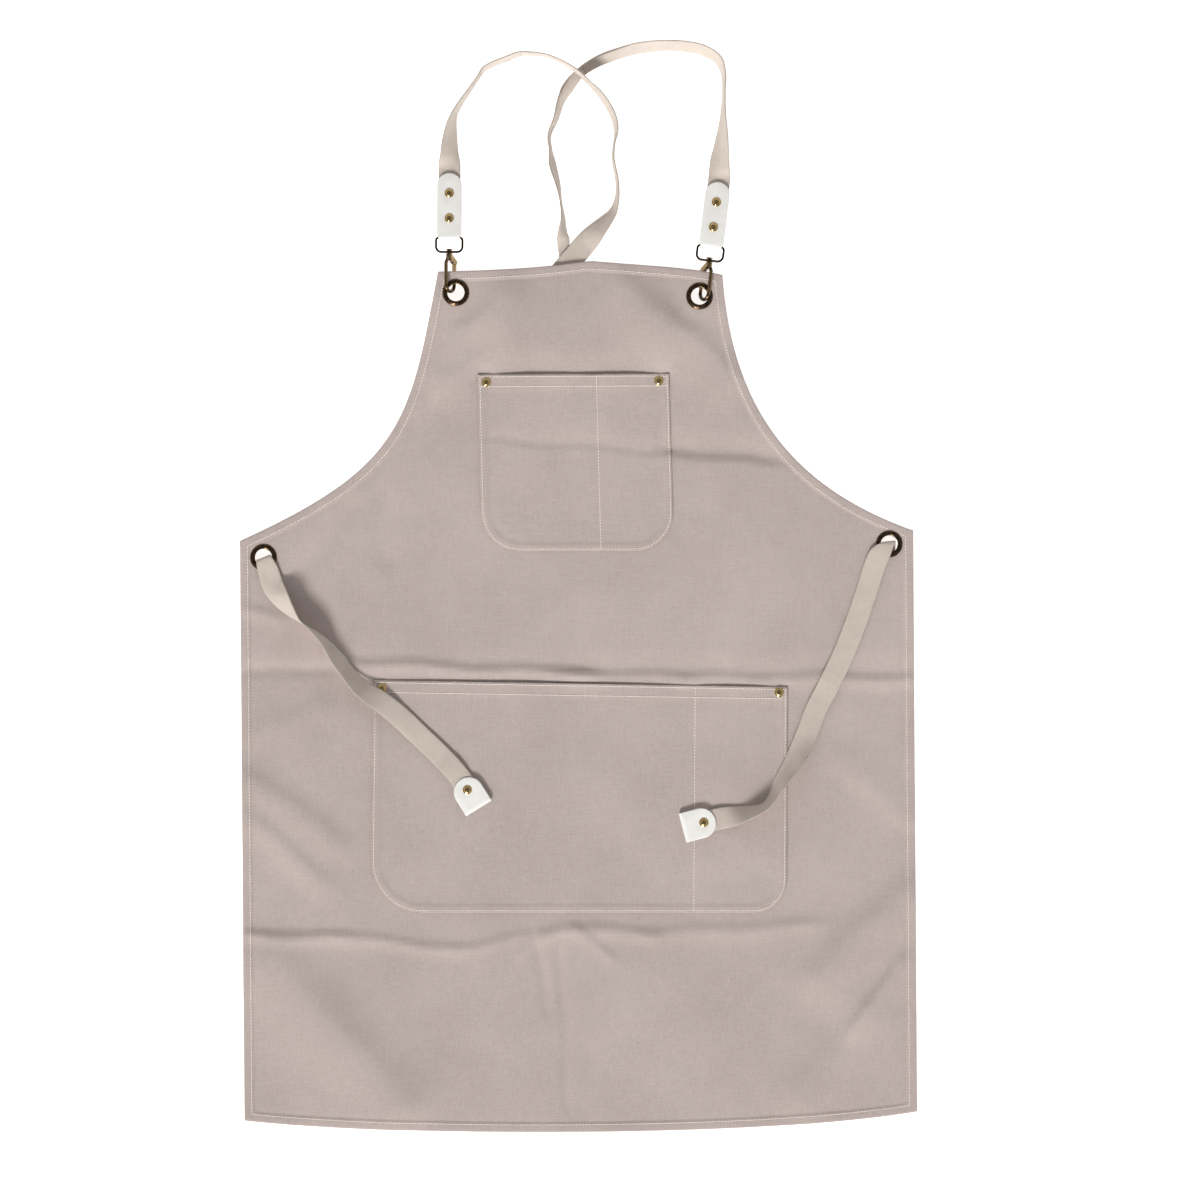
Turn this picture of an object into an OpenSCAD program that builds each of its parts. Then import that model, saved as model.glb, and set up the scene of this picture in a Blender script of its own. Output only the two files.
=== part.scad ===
// Bib apron for painters, lying flat on its back: +X to the wearer's left as seen from above,
// +Y towards the neck straps, +Z up out of the cloth. The origin is the middle of the footprint,
// on the surface that the apron lies on. All lengths are in millimetres.

/* [Cloth] */
// Thickness of the canvas
canvas_t = 0.8; // [0.6:0.1:1.0]
// Width of the turned hem
hem_w = 9; // [7:0.5:11]
// Diameter of the sewing thread
thread_d = 0.8; // [0.5:0.1:0.9]

/* [Webbing] */
// Width of the webbing
web_w = 22; // [20:0.5:23]
// Thickness of the webbing
web_t = 1.5; // [1.2:0.1:1.6]

/* [Metal] */
// Outside diameter of a grommet
grommet_d = 27; // [25:0.5:28]
// Hole through a grommet
eye_d = 17; // [16.5:0.5:17.5]
// Thickness of the snap hook's wire
hook_wire = 3.6; // [3.2:0.1:3.8]
// Diameter of a rivet's cap
rivet_d = 9.5; // [8.5:0.5:10]
// Wire of the swivel loop
loop_wire = 2.4; // [2:0.1:2.6]

/* [Leather] */
// Thickness of the leather
leather_t = 1.5; // [1.2:0.1:1.6]
// Width of the leather tabs that hold the snap hooks
tab_w = 25; // [24.5:0.5:26]

/* [Hidden] */
$fn = 48;

canvas_color = [0.76, 0.70, 0.66];
web_color = [0.84, 0.79, 0.72];
thread_color = [0.90, 0.86, 0.78];
leather_color = [0.93, 0.92, 0.90];
brass_color = [0.35, 0.28, 0.18];
rivet_color = [0.78, 0.64, 0.38];
steel_color = [0.55, 0.55, 0.57];

// ---- Outline of the panel ----
bib_left = [-140.5, 314.5];
bib_right = [143.8, 311];
side_left = [-338.5, 45.5];
side_right = [334.5, 56];
foot_left = [-334, -534];
foot_low = 548;
foot_right = [338.5, -525];
arm_steps = 18;

function bezier(a, b, c, d, n, ends = [0, 1]) =
  [for (i = [0:n]) let (t = ends[0] + (ends[1] - ends[0]) * i / n)
    pow(1 - t, 3) * a + 3 * pow(1 - t, 2) * t * b + 3 * (1 - t) * t * t * c + t * t * t * d];
function inner(list) = [for (i = [1:len(list) - 2]) list[i]];

left_armhole = bezier(bib_left, [-169, 164], [-174, 120], side_left, arm_steps);
right_armhole = bezier(side_right, [195, 105], [152, 200], bib_right, arm_steps);
bottom_edge = bezier(foot_left, [-215, -foot_low - 1], [175, -foot_low - 5], foot_right, 14);
bib_crest = [15, 325];
top_edge = concat(bezier(bib_right, [118, 318.5], [60, 321], bib_crest, 8),
  inner(bezier(bib_crest, [-5, 325], [-22, 317], bib_left, 7)), [bib_left]);
outline = concat(left_armhole, bottom_edge, right_armhole, inner(top_edge));

// The same outline moved inwards by d: each corner moves along the bisector of its two sides.
function unit(v) = v / norm(v);
function inset(pts, d) =
  [for (i = [0:len(pts) - 1])
    let (n = len(pts), a = pts[(i + n - 1) % n], b = pts[i], c = pts[(i + 1) % n],
         u = unit(b - a), v = unit(c - b), m = unit([-u[1] - v[1], u[0] + v[0]]),
         k = max(0.45, m * [-u[1], u[0]]))
      b + m * d / k];

// ---- Height of the cloth's top face along Y: low on the skirt, raised over the hidden
// straps at the waist, and higher at the bib's top, where the hooks pass under it ----
skirt_z = 2.4;
waist_z = 4.4;
bib_z = 8.8;
skirt_from = -90;
waist_from = -62;
bib_from = 215;
bib_to = 280;
far = 600;
function ease(t) = t <= 0 ? 0 : t >= 1 ? 1 : t * t * (3 - 2 * t);
function top_z(y) = skirt_z + (waist_z - skirt_z) * ease((y - skirt_from) / (waist_from - skirt_from))
  + (bib_z - waist_z) * ease((y - bib_from) / (bib_to - bib_from));
ramp_steps = 5;
ramp_ys = concat([-far], [for (i = [0:ramp_steps]) skirt_from + (waist_from - skirt_from) * i / ramp_steps],
  [for (i = [0:ramp_steps]) bib_from + (bib_to - bib_from) * i / ramp_steps], [far]);

// A sheet that follows the cloth's height, between two offsets from its top face
module profile(low, high) {
  rotate([90, 0, 90]) translate([0, 0, -far])
    linear_extrude(2 * far)
      polygon(concat([for (y = ramp_ys) [y, top_z(y) + high]],
        [for (i = [len(ramp_ys) - 1:-1:0]) [ramp_ys[i], top_z(ramp_ys[i]) + low]]));
}

// ---- Hardware positions ----
bib_eyes = [[-122.4, 293.5], [120.9, 290]];
waist_eyes = [[-314.7, 29], [310.5, 42.5]];
bib_rivets = [[-92.1, 204], [80.3, 205.5]];
hand_rivets = [[-196.5, -101.8], [200.5, -105.8]];

module apron_panel() color(canvas_color) difference() {
  union() {
    intersection() {
      linear_extrude(20) polygon(outline);
      profile(-canvas_t, 0);
    }
    intersection() {
      difference() {
        linear_extrude(20) polygon(outline);
        translate([0, 0, -1]) linear_extrude(22) polygon(inset(outline, hem_w));
      }
      profile(-3 * canvas_t, -canvas_t);
    }
  }
  for (p = concat(bib_eyes, waist_eyes)) translate([p[0], p[1], -1]) {
    cylinder(d = eye_d + 3, h = 22);
    cylinder(d = grommet_d - 1.5, h = top_z(p[1]) - canvas_t + 1);
  }
  for (p = concat(bib_rivets, hand_rivets)) translate([p[0], p[1], -1]) cylinder(d = 3, h = 22);
}

// ---- Grommets: a domed ring pressed over the cloth and a flat washer behind it ----
neck_t = 0.7;
neck_l = 1.6;
module grommet(p) color(brass_color) translate([p[0], p[1], top_z(p[1])]) {
  rotate_extrude() polygon([
    [eye_d / 2, -neck_l], [eye_d / 2, 0.8], [eye_d / 2 + 1.5, 1.3], [grommet_d / 2 - 2, 1.2],
    [grommet_d / 2 - 0.4, 0.8], [grommet_d / 2, 0], [eye_d / 2 + neck_t, 0], [eye_d / 2 + neck_t, -neck_l]]);
}
washer_t = 0.6;
module washer(p) color(brass_color) translate([p[0], p[1], top_z(p[1]) - canvas_t - washer_t])
  difference() {
    cylinder(d = grommet_d - 2.5, h = washer_t);
    translate([0, 0, -1]) cylinder(r = eye_d / 2 + neck_t, h = 3);
  }
module grommet_bib_left() grommet(bib_eyes[0]);
module grommet_bib_right() grommet(bib_eyes[1]);
module grommet_waist_left() grommet(waist_eyes[0]);
module grommet_waist_right() grommet(waist_eyes[1]);
module washer_bib_left() washer(bib_eyes[0]);
module washer_bib_right() washer(bib_eyes[1]);
module washer_waist_left() washer(waist_eyes[0]);
module washer_waist_right() washer(waist_eyes[1]);

// ---- Pockets: patches that lie on the panel and gape a little at the mouth ----
patch_t = canvas_t;
seam_gap = 0.1;
bib_pocket_gape = 7;
hand_pocket_gape = 7;
// Each pocket: corners of the mouth and the bottom, and where the divider seam is
bib_p = [[-100.8, 211.7], [90.5, 212.7], [95.5, 35.5], [-96.5, 35.5]];
bib_p_corners = [40, 38];
hand_p = [[-204.8, -93.5], [209, -100.5], [208, -326], [-207.9, -326]];
hand_p_corners = [52, 33];

function mix(a, b, t) = a + (b - a) * t;
// Place on a pocket at s across and t down; corners are the radii of its left and right bottom corners
function patch_xy(c, corners, s, t) =
  let (a = mix(c[0], c[1], s), b = mix(c[3], c[2], s), w = norm(c[2] - c[3]),
       p = mix(a, b, t), r = s < 0.5 ? corners[0] : corners[1], from_side = min(s, 1 - s) * w,
       lift = from_side >= r ? 0 : r - sqrt(r * r - pow(r - from_side, 2)))
    [p[0], p[1] + lift * ease((t - 0.5) / 0.5)];
// Room under the patch: nothing at its riveted sides and the divider, most in the middle of the mouth.
// held is the share of the width that lies flat at each side, under its rivet
function gape(s, t, sd, held, high) =
  let (u = s < sd ? (s - held) / (sd - held) : (s - sd) / (1 - held - sd), narrow = s < sd ? sd : 1 - sd)
    u <= 0 || u >= 1 ? 0
      : high * min(1, 3.6 * narrow) * pow(sin(180 * u), 0.8) * pow(max(0, 1 - t), 1.5);
rivet_zone = 14.5;
function held_share(c) = rivet_zone / norm(c[1] - c[0]);
// A patch of canvas as a grid of columns, with one column on the divider seam
module patch(c, r, sd, high, cols, rows) {
  held = held_share(c);
  ss = concat([0], [for (i = [0:cols]) held + (sd - held) * i / cols],
    [for (i = [1:cols]) sd + (1 - held - sd) * i / cols], [1]);
  n = len(ss);
  function pt(i, j, up) =
    let (t = j / rows, p = patch_xy(c, r, ss[i], t))
      [p[0], p[1], top_z(p[1]) + seam_gap + gape(ss[i], t, sd, held, high) + up];
  pts = [for (up = [0, patch_t]) for (j = [0:rows]) for (i = [0:n - 1]) pt(i, j, up)];
  m = n * (rows + 1);
  function q(i, j) = j * n + i;
  polyhedron(pts, concat(
    [for (j = [0:rows - 1]) for (i = [0:n - 2]) each
      [[q(i, j), q(i + 1, j), q(i + 1, j + 1)], [q(i, j), q(i + 1, j + 1), q(i, j + 1)]]],
    [for (j = [0:rows - 1]) for (i = [0:n - 2]) each
      [[m + q(i, j), m + q(i + 1, j + 1), m + q(i + 1, j)], [m + q(i, j), m + q(i, j + 1), m + q(i + 1, j + 1)]]],
    [for (i = [0:n - 2]) each [[q(i, 0), m + q(i, 0), m + q(i + 1, 0)], [q(i, 0), m + q(i + 1, 0), q(i + 1, 0)]]],
    [for (i = [0:n - 2]) each
      [[q(i, rows), m + q(i + 1, rows), m + q(i, rows)], [q(i, rows), q(i + 1, rows), m + q(i + 1, rows)]]],
    [for (j = [0:rows - 1]) each [[q(0, j), q(0, j + 1), m + q(0, j + 1)], [q(0, j), m + q(0, j + 1), m + q(0, j)]]],
    [for (j = [0:rows - 1]) each
      [[q(n - 1, j), m + q(n - 1, j + 1), q(n - 1, j + 1)], [q(n - 1, j), m + q(n - 1, j), m + q(n - 1, j + 1)]]]));
}
bib_sd = 0.62;
hand_sd = 0.777;
patch_cols = 11;
patch_rows = 14;
module bib_pocket() color(canvas_color) difference() {
  patch(bib_p, bib_p_corners, bib_sd, bib_pocket_gape, patch_cols, patch_rows);
  for (p = bib_rivets) translate([p[0], p[1], 0]) cylinder(d = 3, h = 20);
}
module hand_pocket() color(canvas_color) difference() {
  patch(hand_p, hand_p_corners, hand_sd, hand_pocket_gape, patch_cols, patch_rows);
  for (p = hand_rivets) translate([p[0], p[1], 0]) cylinder(d = 3, h = 20);
}

// ---- Stitching: a fine raised line of thread on the cloth ----
module hem_stitching() color(thread_color) intersection() {
  difference() {
    linear_extrude(20) polygon(inset(outline, hem_w - 1.6));
    translate([0, 0, -1]) linear_extrude(22) polygon(inset(outline, hem_w - 1.6 + thread_d));
    for (p = waist_eyes) translate([p[0], p[1], -1]) cylinder(d = grommet_d + 1, h = 22);
    for (p = bib_eyes) translate([p[0], p[1], -1]) cylinder(d = grommet_d + 1, h = 22);
  }
  profile(0.05, 0.5);
}
// A line of thread on a pocket, as a chain of short bars that follow the patch
module seam(c, r, sd, high, track, steps) {
  pts = [for (k = [0:steps]) let (st = track(k / steps), p = patch_xy(c, r, st[0], st[1]))
    [p[0], p[1], top_z(p[1]) + seam_gap + patch_t + gape(st[0], st[1], sd, held_share(c), high) + 0.36]];
  thread(pts);
}
function cross_at(pts, i) =
  let (a = pts[max(0, i - 1)], b = pts[min(len(pts) - 1, i + 1)], d = b - a) unit([-d[1], d[0], 0]);
module thread(pts) {
  n = len(pts);
  h = thread_d / 2;
  ring = [for (i = [0:n - 1]) let (s = cross_at(pts, i)) each
    [pts[i] - s * h - [0, 0, 0.2], pts[i] + s * h - [0, 0, 0.2], pts[i] + s * h + [0, 0, 0.2],
     pts[i] - s * h + [0, 0, 0.2]]];
  polyhedron(ring, tube_faces(n, 4));
}
// Faces of a tube of n rings of k points, with flat ends
function tube_faces(n, k) = concat(
  [[for (j = [0:k - 1]) j]],
  [for (i = [0:n - 2]) for (j = [0:k - 1]) let (a = i * k + j, b = i * k + (j + 1) % k) each
    [[a, a + k, b], [b, a + k, b + k]]],
  [[for (j = [k - 1:-1:0]) (n - 1) * k + j]]);
seam_in = 2.2;
mouth_hem = 12;
// Where the side seams start, below the rivets
side_from = 16;
module pocket_seams(c, r, sd, high) {
  h = norm(c[3] - c[0]);
  e = seam_in / norm(c[1] - c[0]);
  held = held_share(c);
  seam(c, r, sd, high, function(k) [e, side_from / h + (0.97 - side_from / h) * k], 12);
  seam(c, r, sd, high, function(k) [1 - e, side_from / h + (0.97 - side_from / h) * k], 12);
  seam(c, r, sd, high, function(k) [e + 0.02 + (1 - 2 * e - 0.04) * k, 1 - seam_in / h], 24);
  seam(c, r, sd, high, function(k) [sd, 0.09 + 0.87 * k], 12);
  seam(c, r, sd, high, function(k) [held + (sd - 0.02 - held) * k, mouth_hem / h], 14);
  seam(c, r, sd, high, function(k) [sd + 0.02 + (1 - held - sd - 0.02) * k, mouth_hem / h], 10);
}
module bib_pocket_stitching() color(thread_color) pocket_seams(bib_p, bib_p_corners, bib_sd, bib_pocket_gape);
module hand_pocket_stitching() color(thread_color)
  pocket_seams(hand_p, hand_p_corners, hand_sd, hand_pocket_gape);

// ---- Rivets: a domed cap with its post, and a back cap with a bore that the post fills ----
post_d = 2.6;
cap_t = 1.6;
back_t = 1.2;
// The cap's post reaches down by grip, the thickness that the rivet holds
module rivet_cap(grip) color(rivet_color) {
  rotate_extrude() polygon([
    [0, 0], [rivet_d / 2 - 0.5, 0], [rivet_d / 2, 0.4], [rivet_d / 2 - 0.6, 1.0],
    [rivet_d / 2 - 2, 1.4], [0, cap_t]]);
  translate([0, 0, -grip - 0.8]) cylinder(d = post_d, h = grip + 1.2);
}
module rivet_back(grip) color(rivet_color) translate([0, 0, -grip - back_t]) difference() {
  cylinder(d = rivet_d - 1, h = back_t);
  translate([0, 0, back_t - 0.85]) cylinder(d = post_d + 0.1, h = 2);
}
pocket_grip = patch_t + canvas_t + 2 * seam_gap;
module at_rivets(points) for (p = points)
  translate([p[0], p[1], top_z(p[1]) + patch_t + 2.6 * seam_gap + 0.35]) children();
module bib_pocket_rivets() at_rivets(bib_rivets) rivet_cap(pocket_grip + 0.35);
module bib_pocket_rivet_backs() at_rivets(bib_rivets) rivet_back(pocket_grip + 0.45);
module hand_pocket_rivets() at_rivets(hand_rivets) rivet_cap(pocket_grip + 0.35);
module hand_pocket_rivet_backs() at_rivets(hand_rivets) rivet_back(pocket_grip + 0.45);

// ---- Snap hook assembly, in its own frame: the swivel axis is +Y, the loop end is at +Y,
// and the boss is at the origin. swivel_z is the height of the axis above the ground ----
swivel_z = 10.2;
leg_gap = 14;
hook_roll = 55;
// How far the legs sit to the gate's side of the swivel axis
leg_shift = 1.5;
outer_x = leg_shift - leg_gap / 2;
gate_x = leg_shift + leg_gap / 2;
boss_d = 6.6;
boss_l = 4.5;
bow_y = -37.8;
loop_in_w = 24;
loop_top = 14.5;
swivel_play = 0.08;
neck_d = 4;
head_d = 6.4;

// Where each clasp sits: the boss, the turn of the axis in plan, and which leg is outwards
clasp_left = [-129, 332.4, 0, 1];
clasp_right = [130.4, 323.9, -7, -1];
module place(clasp) translate([clasp[0], clasp[1], swivel_z]) rotate([0, 0, clasp[2]]) children();
module roll(clasp) rotate([0, clasp[3] * hook_roll, 0]) children();

// Body of the hook in the plane x, y: an outer leg, a bow, and a jaw for the gate.
// leg_top is where the outer leg has reached its place, bow_mid the middle of the bow's half circle.
leg_top = -9;
bow_mid = bow_y + leg_gap / 2;
nose_y = bow_mid + 8;
slot_x = 3.6;
module hook_body() {
  rotate([-90, 0, 0]) translate([0, 0, -boss_l]) cylinder(d = boss_d, h = boss_l);
  rotate([-90, 0, 0]) cylinder(d = neck_d, h = 3.4);
  translate([0, 3.2, 0]) rotate([-90, 0, 0]) cylinder(d = head_d, h = 1.4);
  hull() {
    translate([-0.6, -2.4, 0]) sphere(d = hook_wire);
    translate([outer_x, leg_top, 0]) sphere(d = hook_wire);
  }
  translate([outer_x, leg_top, 0]) rotate([90, 0, 0]) cylinder(d = hook_wire, h = leg_top - bow_mid);
  translate([leg_shift, bow_mid, 0]) rotate([0, 0, 180]) rotate_extrude(angle = 180)
    translate([leg_gap / 2, 0]) circle(d = hook_wire);
  translate([gate_x, nose_y, 0]) rotate([90, 0, 0]) cylinder(d = hook_wire, h = nose_y - bow_mid);
  difference() {
    hull() {
      translate([1, -2.6, -jaw_w / 2]) cylinder(d = 4.4, h = jaw_w);
      translate([gate_x, gate_y, -jaw_w / 2]) cylinder(d = 4.4, h = jaw_w);
    }
    translate([slot_x, gate_y - 8, -gate_t / 2 - 0.15]) cube([14, 16, gate_t + 0.3]);
    translate([gate_x, gate_y, -4]) cylinder(d = gate_pin_d, h = 8);
  }
}
jaw_w = 4.3;
gate_pin_d = 1.6;
gate_y = -8.8;
gate_t = 2.5;
gate_w = 3.4;
gate_end = nose_y + 0.4;
module gate_body() difference() {
  union() {
    translate([gate_x, gate_y, -gate_t / 2]) cylinder(d = 3.8, h = gate_t);
    translate([gate_x - gate_w / 2, gate_end, -gate_t / 2]) cube([gate_w, gate_y - gate_end, gate_t]);
  }
  translate([gate_x, gate_y, -3]) cylinder(d = gate_pin_d + 0.12, h = 6);
}
module pin_body() translate([gate_x, gate_y, -jaw_w / 2 - 0.1]) cylinder(d = gate_pin_d, h = jaw_w + 0.2);
// The leaf spring lies in the jaw's slot, between the boss and the gate
module spring_body() translate([slot_x + 0.2, gate_y + 0.8, -0.9]) cube([0.4, 4.6, 1.8]);

// The swivel loop: a rounded wire ring whose lower bar has an eye for the hook's neck
eye_l = 2.6;
loop_half = loop_in_w / 2 + loop_wire / 2;
loop_low_r = 5.5;
loop_top_r = 3;
// The filled outline of the loop, its corners grown by d
module loop_shape(d, h) hull() for (s = [-1, 1]) {
  translate([s * (loop_half - loop_low_r), loop_low_r, 0]) cylinder(r = loop_low_r + d, h = h, center = true);
  translate([s * (loop_half - loop_top_r), loop_top - loop_top_r, 0])
    cylinder(r = loop_top_r + d, h = h, center = true);
}
module loop_body() difference() {
  union() {
    translate([0, loop_wire / 2 + 0.3, 0]) difference() {
      loop_shape(loop_wire / 2, loop_wire);
      loop_shape(-loop_wire / 2, 9);
    }
    translate([0, 0.3, 0]) rotate([-90, 0, 0]) cylinder(d = boss_d - 1, h = eye_l);
  }
  rotate([-90, 0, 0]) translate([0, 0, -1]) cylinder(r = neck_d / 2 + swivel_play, h = 8);
}
module hook_left() color(brass_color) place(clasp_left) roll(clasp_left) hook_body();
module hook_right() color(brass_color) place(clasp_right) roll(clasp_right) mirror([1, 0, 0]) hook_body();
module gate_left() color(brass_color) place(clasp_left) roll(clasp_left) gate_body();
module gate_right() color(brass_color) place(clasp_right) roll(clasp_right) mirror([1, 0, 0]) gate_body();
module gate_pin_left() color(steel_color) place(clasp_left) roll(clasp_left) pin_body();
module gate_pin_right() color(steel_color) place(clasp_right) roll(clasp_right) mirror([1, 0, 0]) pin_body();
module gate_spring_left() color(steel_color) place(clasp_left) roll(clasp_left) spring_body();
module gate_spring_right() color(steel_color) place(clasp_right) roll(clasp_right)
  mirror([1, 0, 0]) spring_body();
module loop_left() color(brass_color) place(clasp_left) loop_body();
module loop_right() color(brass_color) place(clasp_right) loop_body();

// ---- Leather tab: a strip folded round the loop's upper bar, with the webbing between its ends ----
bar_y = loop_top + loop_wire / 2 + 0.3;
tab_l = 64.8;
tab_pitch = 6;
fold_in = 3.7;
// The fold is narrower than the strip, so that it fits between the loop's corners
tab_fold_w = 21.4;
module tab_frame() translate([0, bar_y, 0]) rotate([-tab_pitch, 0, 0]) children();
// A leather strip folded at y = 0 round a gap of inner, with round ends at y = l
module folded_strip(w, fold_w, l, inner, holes) difference() {
  union() {
    for (s = [-1, 1]) translate([0, 0, s * (inner / 2 + leather_t / 2) - leather_t / 2]) {
      translate([-w / 2, 0, 0]) cube([w, l - w / 2, leather_t]);
      translate([0, l - w / 2, 0]) cylinder(d = w, h = leather_t);
    }
    rotate([0, 90, 0]) translate([0, 0, -fold_w / 2]) difference() {
      cylinder(d = inner + 2 * leather_t, h = fold_w);
      translate([0, 0, -1]) cylinder(d = inner, h = fold_w + 2);
      translate([-20, 0.01, -1]) cube([40, 40, fold_w + 2]);
    }
  }
  for (y = holes) translate([0, y, -20]) cylinder(d = 3, h = 40);
}
module tab_body() tab_frame() folded_strip(tab_w, tab_fold_w, tab_l, fold_in, tab_rivet_ys);
tab_rivet_ys = [18.9, 44.3];
tab_grip = fold_in + 2 * leather_t;
module at_tab_rivets() tab_frame() for (y = tab_rivet_ys) translate([0, y, tab_grip / 2 + 0.05]) children();
module tab_left() color(leather_color) place(clasp_left) tab_body();
module tab_right() color(leather_color) place(clasp_right) tab_body();
module tab_rivets_left() place(clasp_left) at_tab_rivets() rivet_cap(tab_grip + 0.05);
module tab_rivets_right() place(clasp_right) at_tab_rivets() rivet_cap(tab_grip + 0.05);
module tab_rivet_backs_left() place(clasp_left) at_tab_rivets() rivet_back(tab_grip + 0.1);
module tab_rivet_backs_right() place(clasp_right) at_tab_rivets() rivet_back(tab_grip + 0.1);
// The webbing's end, held between the two leather layers
module strap_end() color(web_color) tab_frame() difference() {
  translate([-web_w / 2, tab_l - 50, -web_t / 2]) cube([web_w, 50, web_t]);
  for (y = tab_rivet_ys) translate([0, y, -5]) cylinder(d = 3, h = 10);
}
module strap_left_end() place(clasp_left) strap_end();
module strap_right_end() place(clasp_right) strap_end();

// ---- Webbing runs. Each row is [x, y, lift, tilt, width, thickness, turn]:
// lift is the gap under it, tilt turns it from flat (0) to on edge (90), and turn, where it is
// given, is the compass angle of its width, for folds. ----
// Height of whatever lies under a tape at x, y: the panel, or the hand pocket on it
function cloth_z(x, y) =
  let (s = (x - hand_p[0][0]) / (hand_p[1][0] - hand_p[0][0]), t = (hand_p[0][1] - y) / (hand_p[0][1] - hand_p[3][1]))
    top_z(y) + (s < 0 || s > 1 || t < -0.03 || t > 1 ? 0
      : seam_gap + patch_t + gape(s, max(0, t), hand_sd, held_share(hand_p), hand_pocket_gape));

// Middle height of a tape above what it rests on
function rise(tilt, w, t) = w / 2 * abs(sin(tilt)) + t / 2 * abs(cos(tilt));
// A run of webbing. Where it ends in a leather tip, end_z is the height of its last two rows
module tape(rows, on_cloth = false, end_z = undef) {
  n = len(rows);
  pts = [for (i = [0:n - 1]) let (r = rows[i], spread = r[4] / 2 * abs(cos(r[3])),
      base = on_cloth ? max(cloth_z(r[0], r[1]), cloth_z(r[0] + spread, r[1]), cloth_z(r[0] - spread, r[1])) : 0)
    [r[0], r[1], end_z != undef && i > n - 3 ? end_z : base + r[2] + rise(r[3], r[4], r[5])]];
  ring = [for (i = [0:n - 1])
    let (r = rows[i], d = unit(pts[min(n - 1, i + 1)] - pts[max(0, i - 1)]),
         flat = r[6] == undef ? unit([-d[1], d[0], 0]) : [cos(r[6]), sin(r[6]), 0],
         side = flat * cos(r[3]) + [0, 0, 1] * sin(r[3]), up = unit(cross(d, side)),
         a = side * r[4] / 2, b = up * r[5] / 2) each
      [pts[i] - a - b, pts[i] + a - b, pts[i] + a + b, pts[i] - a + b]];
  color(web_color) polyhedron(ring, tube_faces(n, 4));
}

left_loop = [
  [-129, 414.3, 2.7, 0, 22, 1.5], [-129, 416.6, 2.5, 0, 22, 1.5], [-129, 431, 0.8, 33, 22, 1.5],
  [-128.5, 448, 0, 50, 22, 1.5], [-127, 460, 0, 63, 22, 1.5], [-124, 471.3, 0, 76, 22, 1.5],
  [-117.8, 482.5, 0, 81, 22, 1.5], [-109, 495, 0, 84, 22, 1.5], [-99.5, 509, 0, 85, 22, 1.5],
  [-95, 516, 0, 83, 22, 1.5], [-89, 519.6, 0, 81, 22, 1.5], [-71, 527, 0, 81, 22, 1.5],
  [-58.5, 531.6, 0.5, 84, 22, 1.5], [-46, 531.6, 1.6, 86, 22, 1.5], [-31.5, 529.6, 3.4, 87, 22, 1.5],
  [-19, 524.5, 5.4, 86, 22, 1.5], [-8.5, 518.8, 7.2, 86, 22, 1.5], [0.5, 512, 8.6, 85, 22, 1.5],
  [11, 502, 6.8, 83, 22, 1.5], [21.5, 491.5, 3, 79, 22, 1.5], [30.6, 478.5, 0.4, 77, 22, 1.5],
  [36, 466, 0, 77, 22, 1.5], [37.8, 453.5, 0, 81, 22, 1.5], [35.6, 441.5, 0, 86, 22, 1.5],
  [34.6, 429, 0, 86, 22, 1.5], [38.5, 405.5, 0, 84, 22, 1.5], [38.2, 385, 0, 78, 22, 1.5],
  [34.3, 373.5, 0, 66, 22, 1.5], [28.2, 366, 0.4, 54, 22, 1.5], [18.6, 355.5, 1.8, 34, 22, 1.5],
  [11.4, 347.5, 3, 12, 22, 1.5], [4.6, 340, 3, 0, 22, 1.5], [-4.4, 329.5, 2.8, 0, 22, 1.5],
  [-20.2, 311, 2.2, 0, 22, 1.5]];
right_loop = [
  [140.38, 405.2, 2.7, 0, 22, 1.5], [140.63, 407.3, 2.5, 0, 22, 1.5], [140.8, 417, 1.4, -22, 22, 1.5],
  [141.1, 426, 0.6, -32, 22, 1.5], [142.5, 438, 0, -48, 22, 1.5], [143.5, 449, 0, -58, 22, 1.5],
  [144.5, 471, 0, -77, 22, 1.5], [145.2, 494, 0, -84, 22, 1.5], [145, 511.5, 0, -80, 22, 1.5],
  [140, 525.5, 0, -72, 22, 1.5], [127, 534.3, 0, -66, 22, 1.5], [108.5, 539, 0, -66, 22, 1.5],
  [85.5, 540, 0, -66, 22, 1.5], [62.5, 538, 0, -63, 21, 1.5], [39.5, 532.3, 0, -52, 15, 3],
  [18.5, 524.5, 0, -22, 10.5, 5.6], [2.5, 514, 0, -3, 10, 6.6], [-8.5, 501.5, 0, -30, 12, 5],
  [-16.5, 487.5, 0, -66, 18, 2], [-22.5, 467.5, 0, -78, 22, 1.5], [-29.5, 448.5, 0, -84, 22, 1.5],
  [-28.2, 437.5, 0, -84, 22, 1.5], [-26, 421.5, 0, -72, 22, 1.5], [-21, 402.5, 0, -78, 22, 1.5],
  [-17.8, 384.5, 0, -86, 22, 1.5], [-15.6, 367, 0, -80, 22, 1.5], [-15.9, 353, 0, -60, 18, 1.5],
  [-15.3, 345.5, 0, -18, 13, 2], [-14.8, 338, 0, -1, 12, 2], [-12.5, 329, 0, 0, 13, 2],
  [-4, 316.5, 0, 0, 18, 1.5], [11, 295, 0, 0, 22, 1.5]];

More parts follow.
